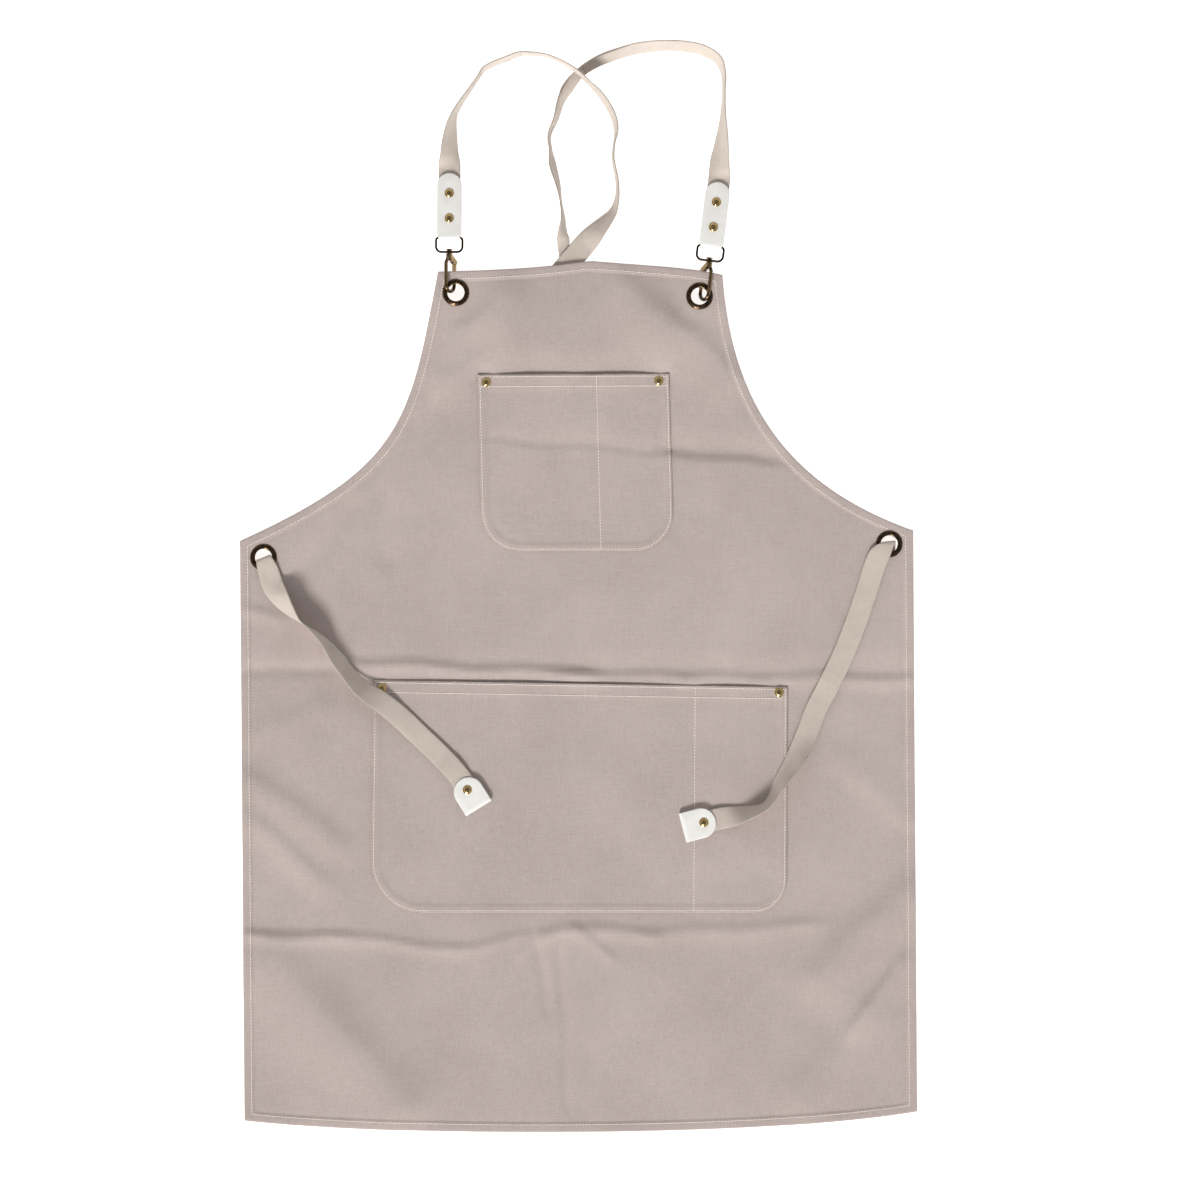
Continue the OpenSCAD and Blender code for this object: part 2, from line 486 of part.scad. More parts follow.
// Under the cloth: down to a flat fold, then up to the grommet and into its hole from below
left_back = [
  [-20.9, 310.2, 2.2, 0, 22, 1.5], [-22.2, 308.7, 2.1, 0, 22, 1.5], [-60, 257.9, 0.5, 0, 22, 1.5],
  [-150, 136.8, 0, 0, 22, 1.5], [-274, -30, 0, 0, 22, 1.5], [-284.5, -44.5, 0, 0, 25.2, 1.5, -7],
  [-284.7, -46.1, 0.85, 0, 25.2, 1.5, -7], [-284.5, -44.5, 1.7, 0, 25.2, 1.5, -7],
  [-291, -28.5, 1.7, 0, 22, 1.5, 22], [-303, 0.5, 0.2, 0, 22, 1.5, 22], [-311.5, 20.8, 0, 0, 19, 1.5, 22],
  [-314.3, 27.2, 0, 0, 16.4, 1.5, 22], [-314.9, 28.6, 0.9, 0, 15.2, 1.5, 22],
  [-314.9, 28.6, 2.4, 0, 15.2, 1.5, 22], [-314.9, 28.6, 4.6, 0, 15.2, 1.5, 22]];
right_back = [
  [11.4, 294.5, 0, 0, 22, 1.5], [12.6, 292.8, 0, 0, 22, 1.5], [60, 239, 0, 0, 22, 1.5],
  [272, -19.7, 0, 0, 22, 1.5], [282.5, -32.5, 0, 0, 25, 1.5, 9], [282.7, -34.1, 0.85, 0, 25, 1.5, 9],
  [282.5, -32.5, 1.7, 0, 25, 1.5, 9], [289, -15, 1.7, 0, 22, 1.5, -19], [299, 13.5, 0.2, 0, 22, 1.5, -18],
  [306.3, 34.5, 0, 0, 19, 1.5, -12], [309.3, 43, 0, 0, 15.6, 1.5, 2], [309.9, 44.6, 0.9, 0, 14.2, 1.5, 6],
  [309.9, 44.6, 2.4, 0, 14.2, 1.5, 6], [309.9, 44.6, 4.6, 0, 14.2, 1.5, 6]];

// On top of the cloth: out of the hole, over the grommet's rim and away
left_tie = [
  [-314.9, 28.6, 0.4, 0, 15.2, 1.5, 22], [-314.7, 28.1, 1.5, 0, 15.4, 1.5, 22],
  [-314, 26.2, 2.3, 0, 16.6, 1.5, 22], [-312.2, 21.6, 2.2, 0, 19, 1.5, 22], [-310, 15.5, 1.4, 0, 21, 1.5, 22],
  [-305.4, 1.5, 0.3, 6, 22, 1.5], [-298.3, -10.5, 0.2, 30, 22, 1.5],
  [-289.2, -22.5, 0, 57, 22, 1.5], [-277.5, -35, 0, 85, 22, 1.5], [-266, -43.5, 0, 95, 22, 1.5],
  [-252.5, -56, 0, 110, 22, 1.5], [-241, -71.5, 0.2, 126, 22, 1.5], [-229.5, -86.5, 0.6, 130, 22, 1.5],
  [-218.5, -99.5, 2.6, 140, 22, 1.5], [-209, -107, 3.4, 150, 22, 1.5], [-198.5, -114, 3.4, 160, 22, 1.5],
  [-180, -129, 1.2, 172, 22, 1.5], [-160.5, -147.5, 0.8, 180, 22, 1.5], [-137.5, -169.5, 1.2, 180, 22, 1.5],
  [-121.5, -187, 2.6, 180, 22, 1.5], [-103, -216, 2.7, 180, 22, 1.5]];
right_tie = [
  [309.9, 44.6, 0.4, 0, 14.2, 1.5, 6], [309.4, 44, 1.5, 0, 14.6, 1.5, 4],
  [306.2, 40.8, 2.3, 0, 17, 1.5, -6], [302.4, 35.2, 2.2, 0, 20.5, 1.5, -16], [298.9, 28.3, 1.4, 0, 22, 1.5, -20],
  [294.7, 17, 0.4, 0, 22, 1.5], [290.9, 4.5, 0.2, 0, 22, 1.5],
  [279.5, -29.5, 0.2, 0, 22, 1.5], [266.5, -63.5, 0.4, 0, 22, 1.5], [250.5, -97.5, 0.4, 0, 22, 1.5],
  [236, -126.5, 0.4, 0, 22, 1.5], [228.5, -146.5, 0.6, 4, 22, 1.5], [214.5, -175.5, 0.8, 34, 22, 1.5],
  [201, -196, 0.4, 56, 22, 1.5], [194, -210, 0.2, 68, 22, 1.5], [187, -219, 0.2, 72, 22, 1.5],
  [174.5, -224.5, 0.2, 62, 22, 1.5], [160, -228.2, 0.6, 38, 22, 1.5], [149.5, -230.4, 1.8, 14, 22, 1.5],
  [141.5, -232, 2.6, 0, 22, 1.5], [110, -240, 2.7, 0, 22, 1.5]];

module strap_left_loop() tape(left_loop);
module strap_right_loop() tape(right_loop);
module strap_left_back() tape(left_back);
module strap_right_back() tape(right_back);
module tip_hole(tip) place_tip(tip) translate([0, tip_rivet_y, -15]) cylinder(d = 3, h = 30);
module strap_left_tie() difference() { tape(left_tie, true, tip_z(tip_at_left)); tip_hole(tip_at_left); }
module strap_right_tie() difference() { tape(right_tie, true, tip_z(tip_at_right)); tip_hole(tip_at_right); }

// ---- Leather tips: a strip folded over the webbing's end, round towards the webbing.
// Each place is the folded end's middle, the height of the tip's middle, and its turn ----
tip_w = 30;
tip_l = 32;
tip_rivet_y = 19.8;
tip_in = web_t + 0.2;
tip_lift = 4.3;
tip_at_left = [-100.5, -219.8, 32];
tip_at_right = [106, -240.8, -75];
function tip_z(tip) = cloth_z(tip[0], tip[1] + 16) + tip_lift;
module place_tip(tip) translate([tip[0], tip[1], tip_z(tip)])
  rotate([0, 0, tip[2]]) children();
tip_grip = tip_in + 2 * leather_t;
module tip(at) color(leather_color) place_tip(at) folded_strip(tip_w, tip_w, tip_l, tip_in, [tip_rivet_y]);
module tip_left() tip(tip_at_left);
module tip_right() tip(tip_at_right);
module tip_cap(at) place_tip(at) translate([0, tip_rivet_y, tip_grip / 2 + 0.05]) rivet_cap(tip_grip + 0.05);
module tip_back(at) place_tip(at) translate([0, tip_rivet_y, tip_grip / 2 + 0.05]) rivet_back(tip_grip + 0.1);
module tip_rivet_left() tip_cap(tip_at_left);
module tip_rivet_right() tip_cap(tip_at_right);
module tip_rivet_back_left() tip_back(tip_at_left);
module tip_rivet_back_right() tip_back(tip_at_right);

apron_panel();
bib_pocket();
hand_pocket();
hem_stitching();
bib_pocket_stitching();
hand_pocket_stitching();
grommet_bib_left();
grommet_bib_right();
grommet_waist_left();
grommet_waist_right();
washer_bib_left();
washer_bib_right();
washer_waist_left();
washer_waist_right();
bib_pocket_rivets();
bib_pocket_rivet_backs();
hand_pocket_rivets();
hand_pocket_rivet_backs();
tab_left();
tab_right();
tab_rivets_left();
tab_rivets_right();
tab_rivet_backs_left();
tab_rivet_backs_right();
loop_left();
loop_right();
hook_left();
hook_right();
gate_left();
gate_right();
gate_pin_left();
gate_pin_right();
gate_spring_left();
gate_spring_right();
strap_left_end();
strap_right_end();
strap_left_loop();
strap_right_loop();
strap_left_back();
strap_right_back();
strap_left_tie();
strap_right_tie();
tip_left();
tip_right();
tip_rivet_left();
tip_rivet_right();
tip_rivet_back_left();
tip_rivet_back_right();
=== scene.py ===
"""Looks of the bib apron, laid flat on its back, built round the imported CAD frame."""
import math

import bpy
import numpy as np
from mathutils import Matrix, Vector, geometry, noise


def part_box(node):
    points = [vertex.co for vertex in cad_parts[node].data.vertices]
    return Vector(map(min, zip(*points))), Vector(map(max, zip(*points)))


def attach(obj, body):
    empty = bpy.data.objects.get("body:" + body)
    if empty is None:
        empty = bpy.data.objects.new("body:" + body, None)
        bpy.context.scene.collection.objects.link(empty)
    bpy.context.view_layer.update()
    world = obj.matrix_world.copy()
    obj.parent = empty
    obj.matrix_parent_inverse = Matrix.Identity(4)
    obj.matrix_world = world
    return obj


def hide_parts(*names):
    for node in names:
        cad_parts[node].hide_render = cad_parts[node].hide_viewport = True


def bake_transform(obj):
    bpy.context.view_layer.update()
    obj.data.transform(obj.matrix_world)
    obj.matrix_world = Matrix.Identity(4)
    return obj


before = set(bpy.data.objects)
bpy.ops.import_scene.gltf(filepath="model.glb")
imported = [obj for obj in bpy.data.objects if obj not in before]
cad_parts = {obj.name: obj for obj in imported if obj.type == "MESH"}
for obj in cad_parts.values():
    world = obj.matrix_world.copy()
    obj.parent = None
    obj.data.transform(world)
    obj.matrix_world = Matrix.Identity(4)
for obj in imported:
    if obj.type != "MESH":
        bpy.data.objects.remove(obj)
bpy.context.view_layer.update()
MM = 0.001

# ---------------------------------------------------------------- camera, floor and light
VIEW_AT = (21.5, -13.5)      # where the camera looks, mm
VIEW_WIDTH = 1.2             # what it sees across, m
CAMERA_HEIGHT = 6.0
SENSOR = 36.0                # mm
FLOOR_HALF, FLOOR_Z = 12.0, -0.0006
TO_SUN = (-0.32, -1.10, 0.84)


def camera_and_stage():
    cam_data = bpy.data.cameras.new("camera")
    cam_data.sensor_width = SENSOR
    cam_data.lens = SENSOR * CAMERA_HEIGHT / VIEW_WIDTH
    cam_data.clip_end = 100
    cam = bpy.data.objects.new("camera", cam_data)
    cam.location = (VIEW_AT[0] * MM, VIEW_AT[1] * MM, CAMERA_HEIGHT)
    bpy.context.collection.objects.link(cam)
    bpy.context.scene.camera = cam

    mesh = bpy.data.meshes.new("floor")
    r, z = FLOOR_HALF, FLOOR_Z
    mesh.from_pydata([(-r, -r, z), (r, -r, z), (r, r, z), (-r, r, z)], [], [(0, 1, 2, 3)])
    floor = bpy.data.objects.new("floor", mesh)
    bpy.context.collection.objects.link(floor)
    paint = Maker("floor")
    paint.uniform(Base_Color=(0.95, 0.95, 0.95, 1), Roughness=0.9,
                  Emission_Color=(1, 1, 1, 1), Emission_Strength=0.7)
    mesh.materials.append(paint.mat)

    world = bpy.data.worlds.new("studio")
    bpy.context.scene.world = world
    world.use_nodes = True
    tree = world.node_tree
    back = tree.nodes["Background"]
    # Bright all round and darker overhead, so that metal shows light rims and a dark middle
    coord = tree.nodes.new("ShaderNodeTexCoord")
    split = tree.nodes.new("ShaderNodeSeparateXYZ")
    band = tree.nodes.new("ShaderNodeMapRange")
    band.interpolation_type = "SMOOTHSTEP"
    for socket, value in (("From Min", 0.50), ("From Max", 0.80), ("To Min", 1.0), ("To Max", 0.25)):
        band.inputs[socket].default_value = value
    tree.links.new(coord.outputs["Generated"], split.inputs[0])
    tree.links.new(split.outputs[2], band.inputs["Value"])
    tree.links.new(band.outputs["Result"], back.inputs["Color"])
    back.inputs["Strength"].default_value = 1.0

    sun = bpy.data.lights.new("key", "SUN")
    sun.energy = 3.5
    sun.angle = math.radians(14)
    lamp = bpy.data.objects.new("key", sun)
    lamp.rotation_euler = Vector(TO_SUN).to_track_quat("Z", "Y").to_euler()
    bpy.context.collection.objects.link(lamp)


# ---------------------------------------------------------------- materials
class Maker:
    """Short ways to add shader nodes to one material."""

    def __init__(self, name):
        self.mat = bpy.data.materials.new(name)
        self.mat.use_nodes = True
        self.tree = self.mat.node_tree
        self.bsdf = self.tree.nodes["Principled BSDF"]

    def add(self, kind, **values):
        node = self.tree.nodes.new(kind)
        for key, value in values.items():
            if hasattr(node, key):
                setattr(node, key, value)
            else:
                node.inputs[key.replace("_", " ")].default_value = value
        return node

    def link(self, a, b):
        self.tree.links.new(a, b)

    def feed(self, colour, normal):
        self.link(colour, self.bsdf.inputs["Base Color"])
        self.link(normal, self.bsdf.inputs["Normal"])

    def uniform(self, **values):
        """Plain values of the shader; an underscore in a name stands for a space."""
        for key, value in values.items():
            self.bsdf.inputs[key.replace("_", " ")].default_value = value

    def math(self, op, a, b=0.0, c=None):
        node = self.add("ShaderNodeMath", operation=op)
        for i, v in enumerate((a, b) if c is None else (a, b, c)):
            if isinstance(v, (int, float)):
                node.inputs[i].default_value = v
            else:
                self.link(v, node.inputs[i])
        return node.outputs[0]

    def noise(self, where, scale, detail=3.0, rough=0.55):
        node = self.add("ShaderNodeTexNoise")
        node.inputs["Scale"].default_value = scale
        node.inputs["Detail"].default_value = detail
        node.inputs["Roughness"].default_value = rough
        self.link(where, node.inputs["Vector"])
        return node.outputs["Fac"]

    def ramp(self, fac, *stops):
        node = self.add("ShaderNodeValToRGB")
        band = node.color_ramp
        while len(band.elements) < len(stops):
            band.elements.new(0.5)
        for e, (at, colour) in zip(band.elements, stops):
            e.position = at
            e.color = (*colour, 1)
        self.link(fac, node.inputs["Fac"])
        return node.outputs["Color"]

    def bump(self, height, strength, distance):
        node = self.add("ShaderNodeBump")
        node.inputs["Strength"].default_value = strength
        node.inputs["Distance"].default_value = distance
        self.link(height, node.inputs["Height"])
        return node.outputs["Normal"]

    def xyz(self):
        coord = self.add("ShaderNodeTexCoord")
        split = self.add("ShaderNodeSeparateXYZ")
        self.link(coord.outputs["Object"], split.inputs[0])
        return coord.outputs["Object"], split.outputs

    def scaled(self, where, scale):
        node = self.add("ShaderNodeMapping")
        node.inputs["Scale"].default_value = scale
        self.link(where, node.inputs["Vector"])
        return node.outputs["Vector"]


camera_and_stage()
bpy.context.scene.view_settings.view_transform = "Standard"

CANVAS_PITCH = 0.00062       # distance between two threads of the canvas, m


def canvas_material():
    m = Maker("canvas")
    where, (x, y, z) = m.xyz()
    warp = m.math("SINE", m.math("MULTIPLY", x, 2 * math.pi / CANVAS_PITCH))
    weft = m.math("SINE", m.math("MULTIPLY", y, 2 * math.pi / CANVAS_PITCH))
    weave = m.math("MULTIPLY", warp, weft)
    slub_x = m.noise(m.scaled(where, (1400, 90, 90)), 1.0, 2.0)
    slub_y = m.noise(m.scaled(where, (90, 1400, 90)), 1.0, 2.0)
    slub = m.math("ADD", slub_x, slub_y)
    cloud = m.noise(where, 9.0, 4.0)
    fleck = m.noise(where, 700.0, 2.0, 0.7)
    tone = m.math("MULTIPLY_ADD", slub, 0.20, m.math("MULTIPLY", cloud, 0.30))
    tone = m.math("MULTIPLY_ADD", fleck, 0.36, tone)
    tone = m.math("MULTIPLY_ADD", weave, 0.03, tone)
    colour = m.ramp(tone, (0.36, (0.335, 0.276, 0.253)), (0.52, (0.402, 0.335, 0.310)),
                    (0.68, (0.470, 0.396, 0.368)))
    m.feed(colour, m.bump(m.math("ADD", weave, m.math("MULTIPLY", slub, 1.6)), 0.30, 0.00010))
    m.uniform(Roughness=0.92, Specular_IOR_Level=0.18, Sheen_Weight=0.10, Sheen_Roughness=0.5)
    return m.mat


RIB_PITCH, WARP_PITCH = 0.0013, 0.0009   # the webbing's ribs and threads, m
EDGE_SHADE_FROM = 0.0102            # where the painted shade along the webbing's edges begins, from its middle, m


def webbing_material():
    """Herringbone tape: u runs along it and v across it, both in metres."""
    m = Maker("webbing")
    uv = m.add("ShaderNodeUVMap")
    uv.uv_map = "tape"
    split = m.add("ShaderNodeSeparateXYZ")
    m.link(uv.outputs[0], split.inputs[0])
    u, v = split.outputs[0], split.outputs[1]
    zig = m.math("PINGPONG", m.math("MULTIPLY", v, 4.0 / 0.022), 1.0)
    slant = m.math("ADD", u, m.math("MULTIPLY", zig, 0.0034))
    rib = m.math("SINE", m.math("MULTIPLY", slant, 2 * math.pi / RIB_PITCH))
    thread = m.math("SINE", m.math("MULTIPLY", v, 2 * math.pi / WARP_PITCH))
    where, _ = m.xyz()
    worn = m.noise(where, 60.0, 4.0)
    fleck = m.noise(where, 900.0, 2.0, 0.7)
    tone = m.math("MULTIPLY_ADD", rib, 0.16, 0.5)
    tone = m.math("MULTIPLY_ADD", m.math("SUBTRACT", worn, 0.5), 0.35, tone)
    tone = m.math("MULTIPLY_ADD", m.math("SUBTRACT", fleck, 0.5), 0.35, tone)
    # painted shade: both edges of the webbing are coloured darker, where they round away from the light
    edge = m.math("GREATER_THAN", m.math("ABSOLUTE", v), EDGE_SHADE_FROM)
    tone = m.math("SUBTRACT", tone, m.math("MULTIPLY", edge, 0.30))
    colour = m.ramp(tone, (0.20, (0.370, 0.315, 0.272)), (0.50, (0.500, 0.435, 0.380)),
                    (0.80, (0.600, 0.530, 0.465)))
    m.feed(colour, m.bump(m.math("MULTIPLY_ADD", thread, 0.3, rib), 0.5, 0.00022))
    m.uniform(Roughness=0.85, Specular_IOR_Level=0.2, Sheen_Weight=0.12)
    return m.mat


def thread_material():
    m = Maker("thread")
    where, _ = m.xyz()
    twist = m.noise(where, 1800.0, 2.0)
    m.feed(m.ramp(twist, (0.3, (0.68, 0.60, 0.53)), (0.7, (0.80, 0.73, 0.65))), m.bump(twist, 0.4, 0.0001))
    m.uniform(Roughness=0.75)
    return m.mat


def leather_material():
    m = Maker("leather")
    where, _ = m.xyz()
    cells = m.add("ShaderNodeTexVoronoi", feature="DISTANCE_TO_EDGE")
    cells.inputs["Scale"].default_value = 900.0
    m.link(where, cells.inputs["Vector"])
    grain = m.math("MINIMUM", cells.outputs["Distance"], 0.35)
    cloud = m.noise(where, 45.0, 3.0)
    m.feed(m.ramp(cloud, (0.3, (0.67, 0.655, 0.62)), (0.7, (0.74, 0.73, 0.70))),
           m.bump(m.math("MULTIPLY_ADD", cloud, 0.6, grain), 0.25, 0.00018))
    m.uniform(Roughness=0.48, Coat_Weight=0.12, Coat_Roughness=0.35)
    return m.mat


def metal_material(name, dark, bright, roughness, wear):
    """A plated metal: bright where edges are worn, dark in between."""
    m = Maker(name)
    where, _ = m.xyz()
    geo = m.add("ShaderNodeNewGeometry")
    patch = m.noise(where, 420.0, 4.0, 0.6)
    edge = m.math("MULTIPLY", m.math("SUBTRACT", geo.outputs["Pointiness"], 0.5), wear)
    fac = m.math("ADD", m.math("MULTIPLY_ADD", patch, 0.5, 0.2), edge)
    m.feed(m.ramp(fac, (0.45, dark), (0.90, bright)), m.bump(m.noise(where, 1500.0, 2.0), 0.08, 0.0001))
    m.link(m.math("MULTIPLY_ADD", patch, 0.10, roughness), m.bsdf.inputs["Roughness"])
    m.uniform(Metallic=1.0)
    return m.mat


CANVAS = canvas_material()
WEBBING = webbing_material()
THREAD = thread_material()
LEATHER = leather_material()
ANTIQUE = metal_material("antique_brass", (0.030, 0.020, 0.014), (0.30, 0.20, 0.10), 0.20, 6.0)
RIVET = metal_material("rivet_brass", (0.42, 0.29, 0.13), (0.85, 0.66, 0.36), 0.10, 3.0)
STEEL = metal_material("steel", (0.20, 0.20, 0.20), (0.55, 0.55, 0.54), 0.25, 2.0)


# ---------------------------------------------------------------- outline and height of the cloth
BIB_LEFT, BIB_CREST, BIB_RIGHT = (-140.5, 314.5), (15.0, 325.0), (143.8, 311.0)
SIDE_LEFT, SIDE_RIGHT = (-338.5, 45.5), (334.5, 56.0)
FOOT_LEFT, FOOT_RIGHT = (-334.0, -534.0), (338.5, -525.0)
FOOT_LOW = 548.0


def bezier(a, b, c, d, n):
    t = np.linspace(0, 1, n + 1)[:, None]
    a, b, c, d = (np.array(p, float) for p in (a, b, c, d))
    return (1 - t) ** 3 * a + 3 * (1 - t) ** 2 * t * b + 3 * (1 - t) * t * t * c + t ** 3 * d


def panel_outline():
    left = bezier(BIB_LEFT, (-169, 164), (-174, 120), SIDE_LEFT, 90)
    foot = bezier(FOOT_LEFT, (-215, -FOOT_LOW - 1), (175, -FOOT_LOW - 5), FOOT_RIGHT, 60)
    right = bezier(SIDE_RIGHT, (195, 105), (152, 200), BIB_RIGHT, 90)
    top = np.vstack([bezier(BIB_RIGHT, (118, 318.5), (60, 321), BIB_CREST, 30),
                     bezier(BIB_CREST, (-5, 325), (-22, 317), BIB_LEFT, 40)[1:]])
    return np.vstack([left, foot, right, top[1:-1]])


def ease(t):
    t = np.clip(t, 0, 1)
    return t * t * (3 - 2 * t)


SKIRT_Z, WAIST_Z, BIB_Z, BIB_MID_Z = 2.4, 4.4, 8.8, 6.8


def base_top(x, y):
    """The CAD panel's top face, but lower in the middle of the bib, between the two hooks."""
    corner = ease((np.abs(x) - 45) / 48)
    bib = BIB_MID_Z + (BIB_Z - BIB_MID_Z) * corner
    return SKIRT_Z + (WAIST_Z - SKIRT_Z) * ease((y + 90) / 28) + (bib - WAIST_Z) * ease((y - 215) / 65)


RIPPLES = ((0.55, 70.0, 3.1), (0.30, 28.0, 7.7), (0.10, 11.0, 1.3))    # height, size, mm, and noise seed
FOLD_RISE = 2.0
# Soft folds and fold lines of the cloth: from, to, share of FOLD_RISE, width left of the line and right of it, mm
FOLDS = [
    ((-66, 300), (-150, 205), 2.2, 30, 17),
    ((36, 305), (160, 205), 2.6, 17, 34),
    ((-95, 232), (-168, 178), 1.0, 16, 10),
    ((88, 138), (200, 126), -1.5, 16, 3.5),
    ((-96, 148), (96, 134), -0.5, 9, 3.0),
    ((-225, 82), (-286, 4), -1.3, 14, 12),
    ((-196, 96), (-190, 20), -0.7, 12, 12),
    ((-336, -22), (-296, -34), 0.9, 5, 8),
    ((-232, -76), (12, -88), 1.9, 4.0, 9),
    ((-20, -86), (110, -92), 1.4, 4.0, 8),
    ((110, -91), (334, -92), 1.2, 3.5, 8),
    ((-336, -86), (-232, -80), -0.8, 5, 5),
    ((-332, -190), (-235, -262), 1.4, 13, 20),
    ((-330, -232), (-250, -300), 1.3, 10, 16),
    ((-334, -348), (-235, -350), 1.5, 3.2, 8),
    ((-236, -350), (-118, -362), 1.1, 3.4, 7),
    ((-118, -362), (-12, -343), 0.8, 4, 7),
    ((-10, -342), (78, -347), 1.2, 4, 9),
    ((78, -347), (238, -338), 0.9, 5, 9),
    ((-318, -362), (-170, -528), 3.0, 26, 46),
    ((336, -300), (230, -398), 2.4, 30, 18),
    ((324, -368), (272, -446), 1.6, 16, 4.0),
    ((296, -420), (214, -520), 2.0, 34, 22),
    ((-42, -350), (-31, -424), -0.7, 3.4, 6),
    ((-19, -360), (-11, -524), -0.8, 5, 3.4),
    ((10, -460), (4, -528), -0.5, 8, 6),
    ((-8, -340), (38, -372), 0.7, 4, 8),
    ((-12, -338), (-62, -366), 0.6, 7, 4),
    ((262, -170), (336, -238), 1.0, 22, 14),
    ((-10, 300), (-6, 150), 0.7, 30, 30),
    ((-85, 240), (90, 238), 2.2, 42, 26),
    ((-250, -120), (-330, -150), 0.8, 14, 14),
]


def fold_height(x, y):
    z = np.zeros_like(x)
    for (x0, y0), (x1, y1), h, left, right in FOLDS:
        dx, dy = x1 - x0, y1 - y0
        size = math.hypot(dx, dy)
        along = ((x - x0) * dx + (y - y0) * dy) / size
        off = ((y - y0) * dx - (x - x0) * dy) / size + 1.6 * np.sin(along / 17.0 + x0)
        ends = min(0.3 * size, 40.0)
        fade = ease((along + ends * 0.6) / ends) * ease((size + ends * 0.6 - along) / ends)
        z += FOLD_RISE * h * fade * np.exp(-(off / np.where(off > 0, left, right)) ** 2)
    return z


def noise_at(x, y, scale, seed):
    return np.array([noise.noise(Vector((a / scale, b / scale, seed))) for a, b in zip(x, y)])


def node_middle(node):
    low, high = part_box(node)
    return np.array([(low[0] + high[0]) / 2 / MM, (low[1] + high[1]) / 2 / MM])


HOLES = {place: node_middle("grommet_" + place)
         for place in ("bib_left", "bib_right", "waist_left", "waist_right")}
RIVETS = {"bib_pocket": [(-92.1, 204.0), (80.3, 205.5)], "hand_pocket": [(-196.5, -101.8), (200.5, -105.8)]}


def cloth_top(x, y):
    """Top of the panel, without its hem. It is level round the grommets and rivets."""
    flat = np.ones_like(x)
    for hx, hy in HOLES.values():
        flat *= ease((np.hypot(x - hx, y - hy) - 15) / 22)
    for hx, hy in RIVETS["bib_pocket"] + RIVETS["hand_pocket"]:
        flat *= 0.15 + 0.85 * ease((np.hypot(x - hx, y - hy) - 5) / 14)
    rough = sum(high * noise_at(x, y, scale, seed) for high, scale, seed in RIPPLES)
    z = base_top(x, y) + flat * (fold_height(x, y) + rough)
    return np.maximum(z, 1.0)


def edge_distance(px, py, loop):
    """Distance of each point from a closed outline."""
    best = np.full(len(px), 1e9)
    for a, b in zip(loop, np.roll(loop, -1, axis=0)):
        d = b - a
        t = np.clip(((px - a[0]) * d[0] + (py - a[1]) * d[1]) / max(d @ d, 1e-9), 0, 1)
        best = np.minimum(best, np.hypot(px - a[0] - t * d[0], py - a[1] - t * d[1]))
    return best


def resample(loop, pitch, keep=0.6):
    """Even points round a closed outline; its sharp corners are kept."""
    n = len(loop)
    before, after = loop - np.roll(loop, 1, axis=0), np.roll(loop, -1, axis=0) - loop
    cross = before[:, 0] * after[:, 1] - before[:, 1] * after[:, 0]
    turn = np.abs(np.arctan2(cross, (before * after).sum(1)))
    corners = [i for i in range(n) if turn[i] > keep]
    if not corners:
        corners = [0]
    out = []
    for a, b in zip(corners, corners[1:] + [corners[0] + n]):
        run = np.array([loop[i % n] for i in range(a, b + 1)])
        length = np.r_[0, np.cumsum(np.hypot(*np.diff(run, axis=0).T))]
        steps = max(1, round(length[-1] / pitch))
        s = np.linspace(0, length[-1], steps + 1)[:-1]
        out.append(np.c_[np.interp(s, length, run[:, 0]), np.interp(s, length, run[:, 1])])
    return np.vstack(out)


def inset(loop, d):
    """The outline moved inwards; each point moves along the bisector of its two sides."""
    u = loop - np.roll(loop, 1, axis=0)
    v = np.roll(loop, -1, axis=0) - loop
    u /= np.linalg.norm(u, axis=1)[:, None]
    v /= np.linalg.norm(v, axis=1)[:, None]
    m = np.c_[-u[:, 1] - v[:, 1], u[:, 0] + v[:, 0]]
    m /= np.linalg.norm(m, axis=1)[:, None]
    k = np.maximum((m * np.c_[-u[:, 1], u[:, 0]]).sum(1), 0.45)
    return loop + m * (d / k)[:, None]


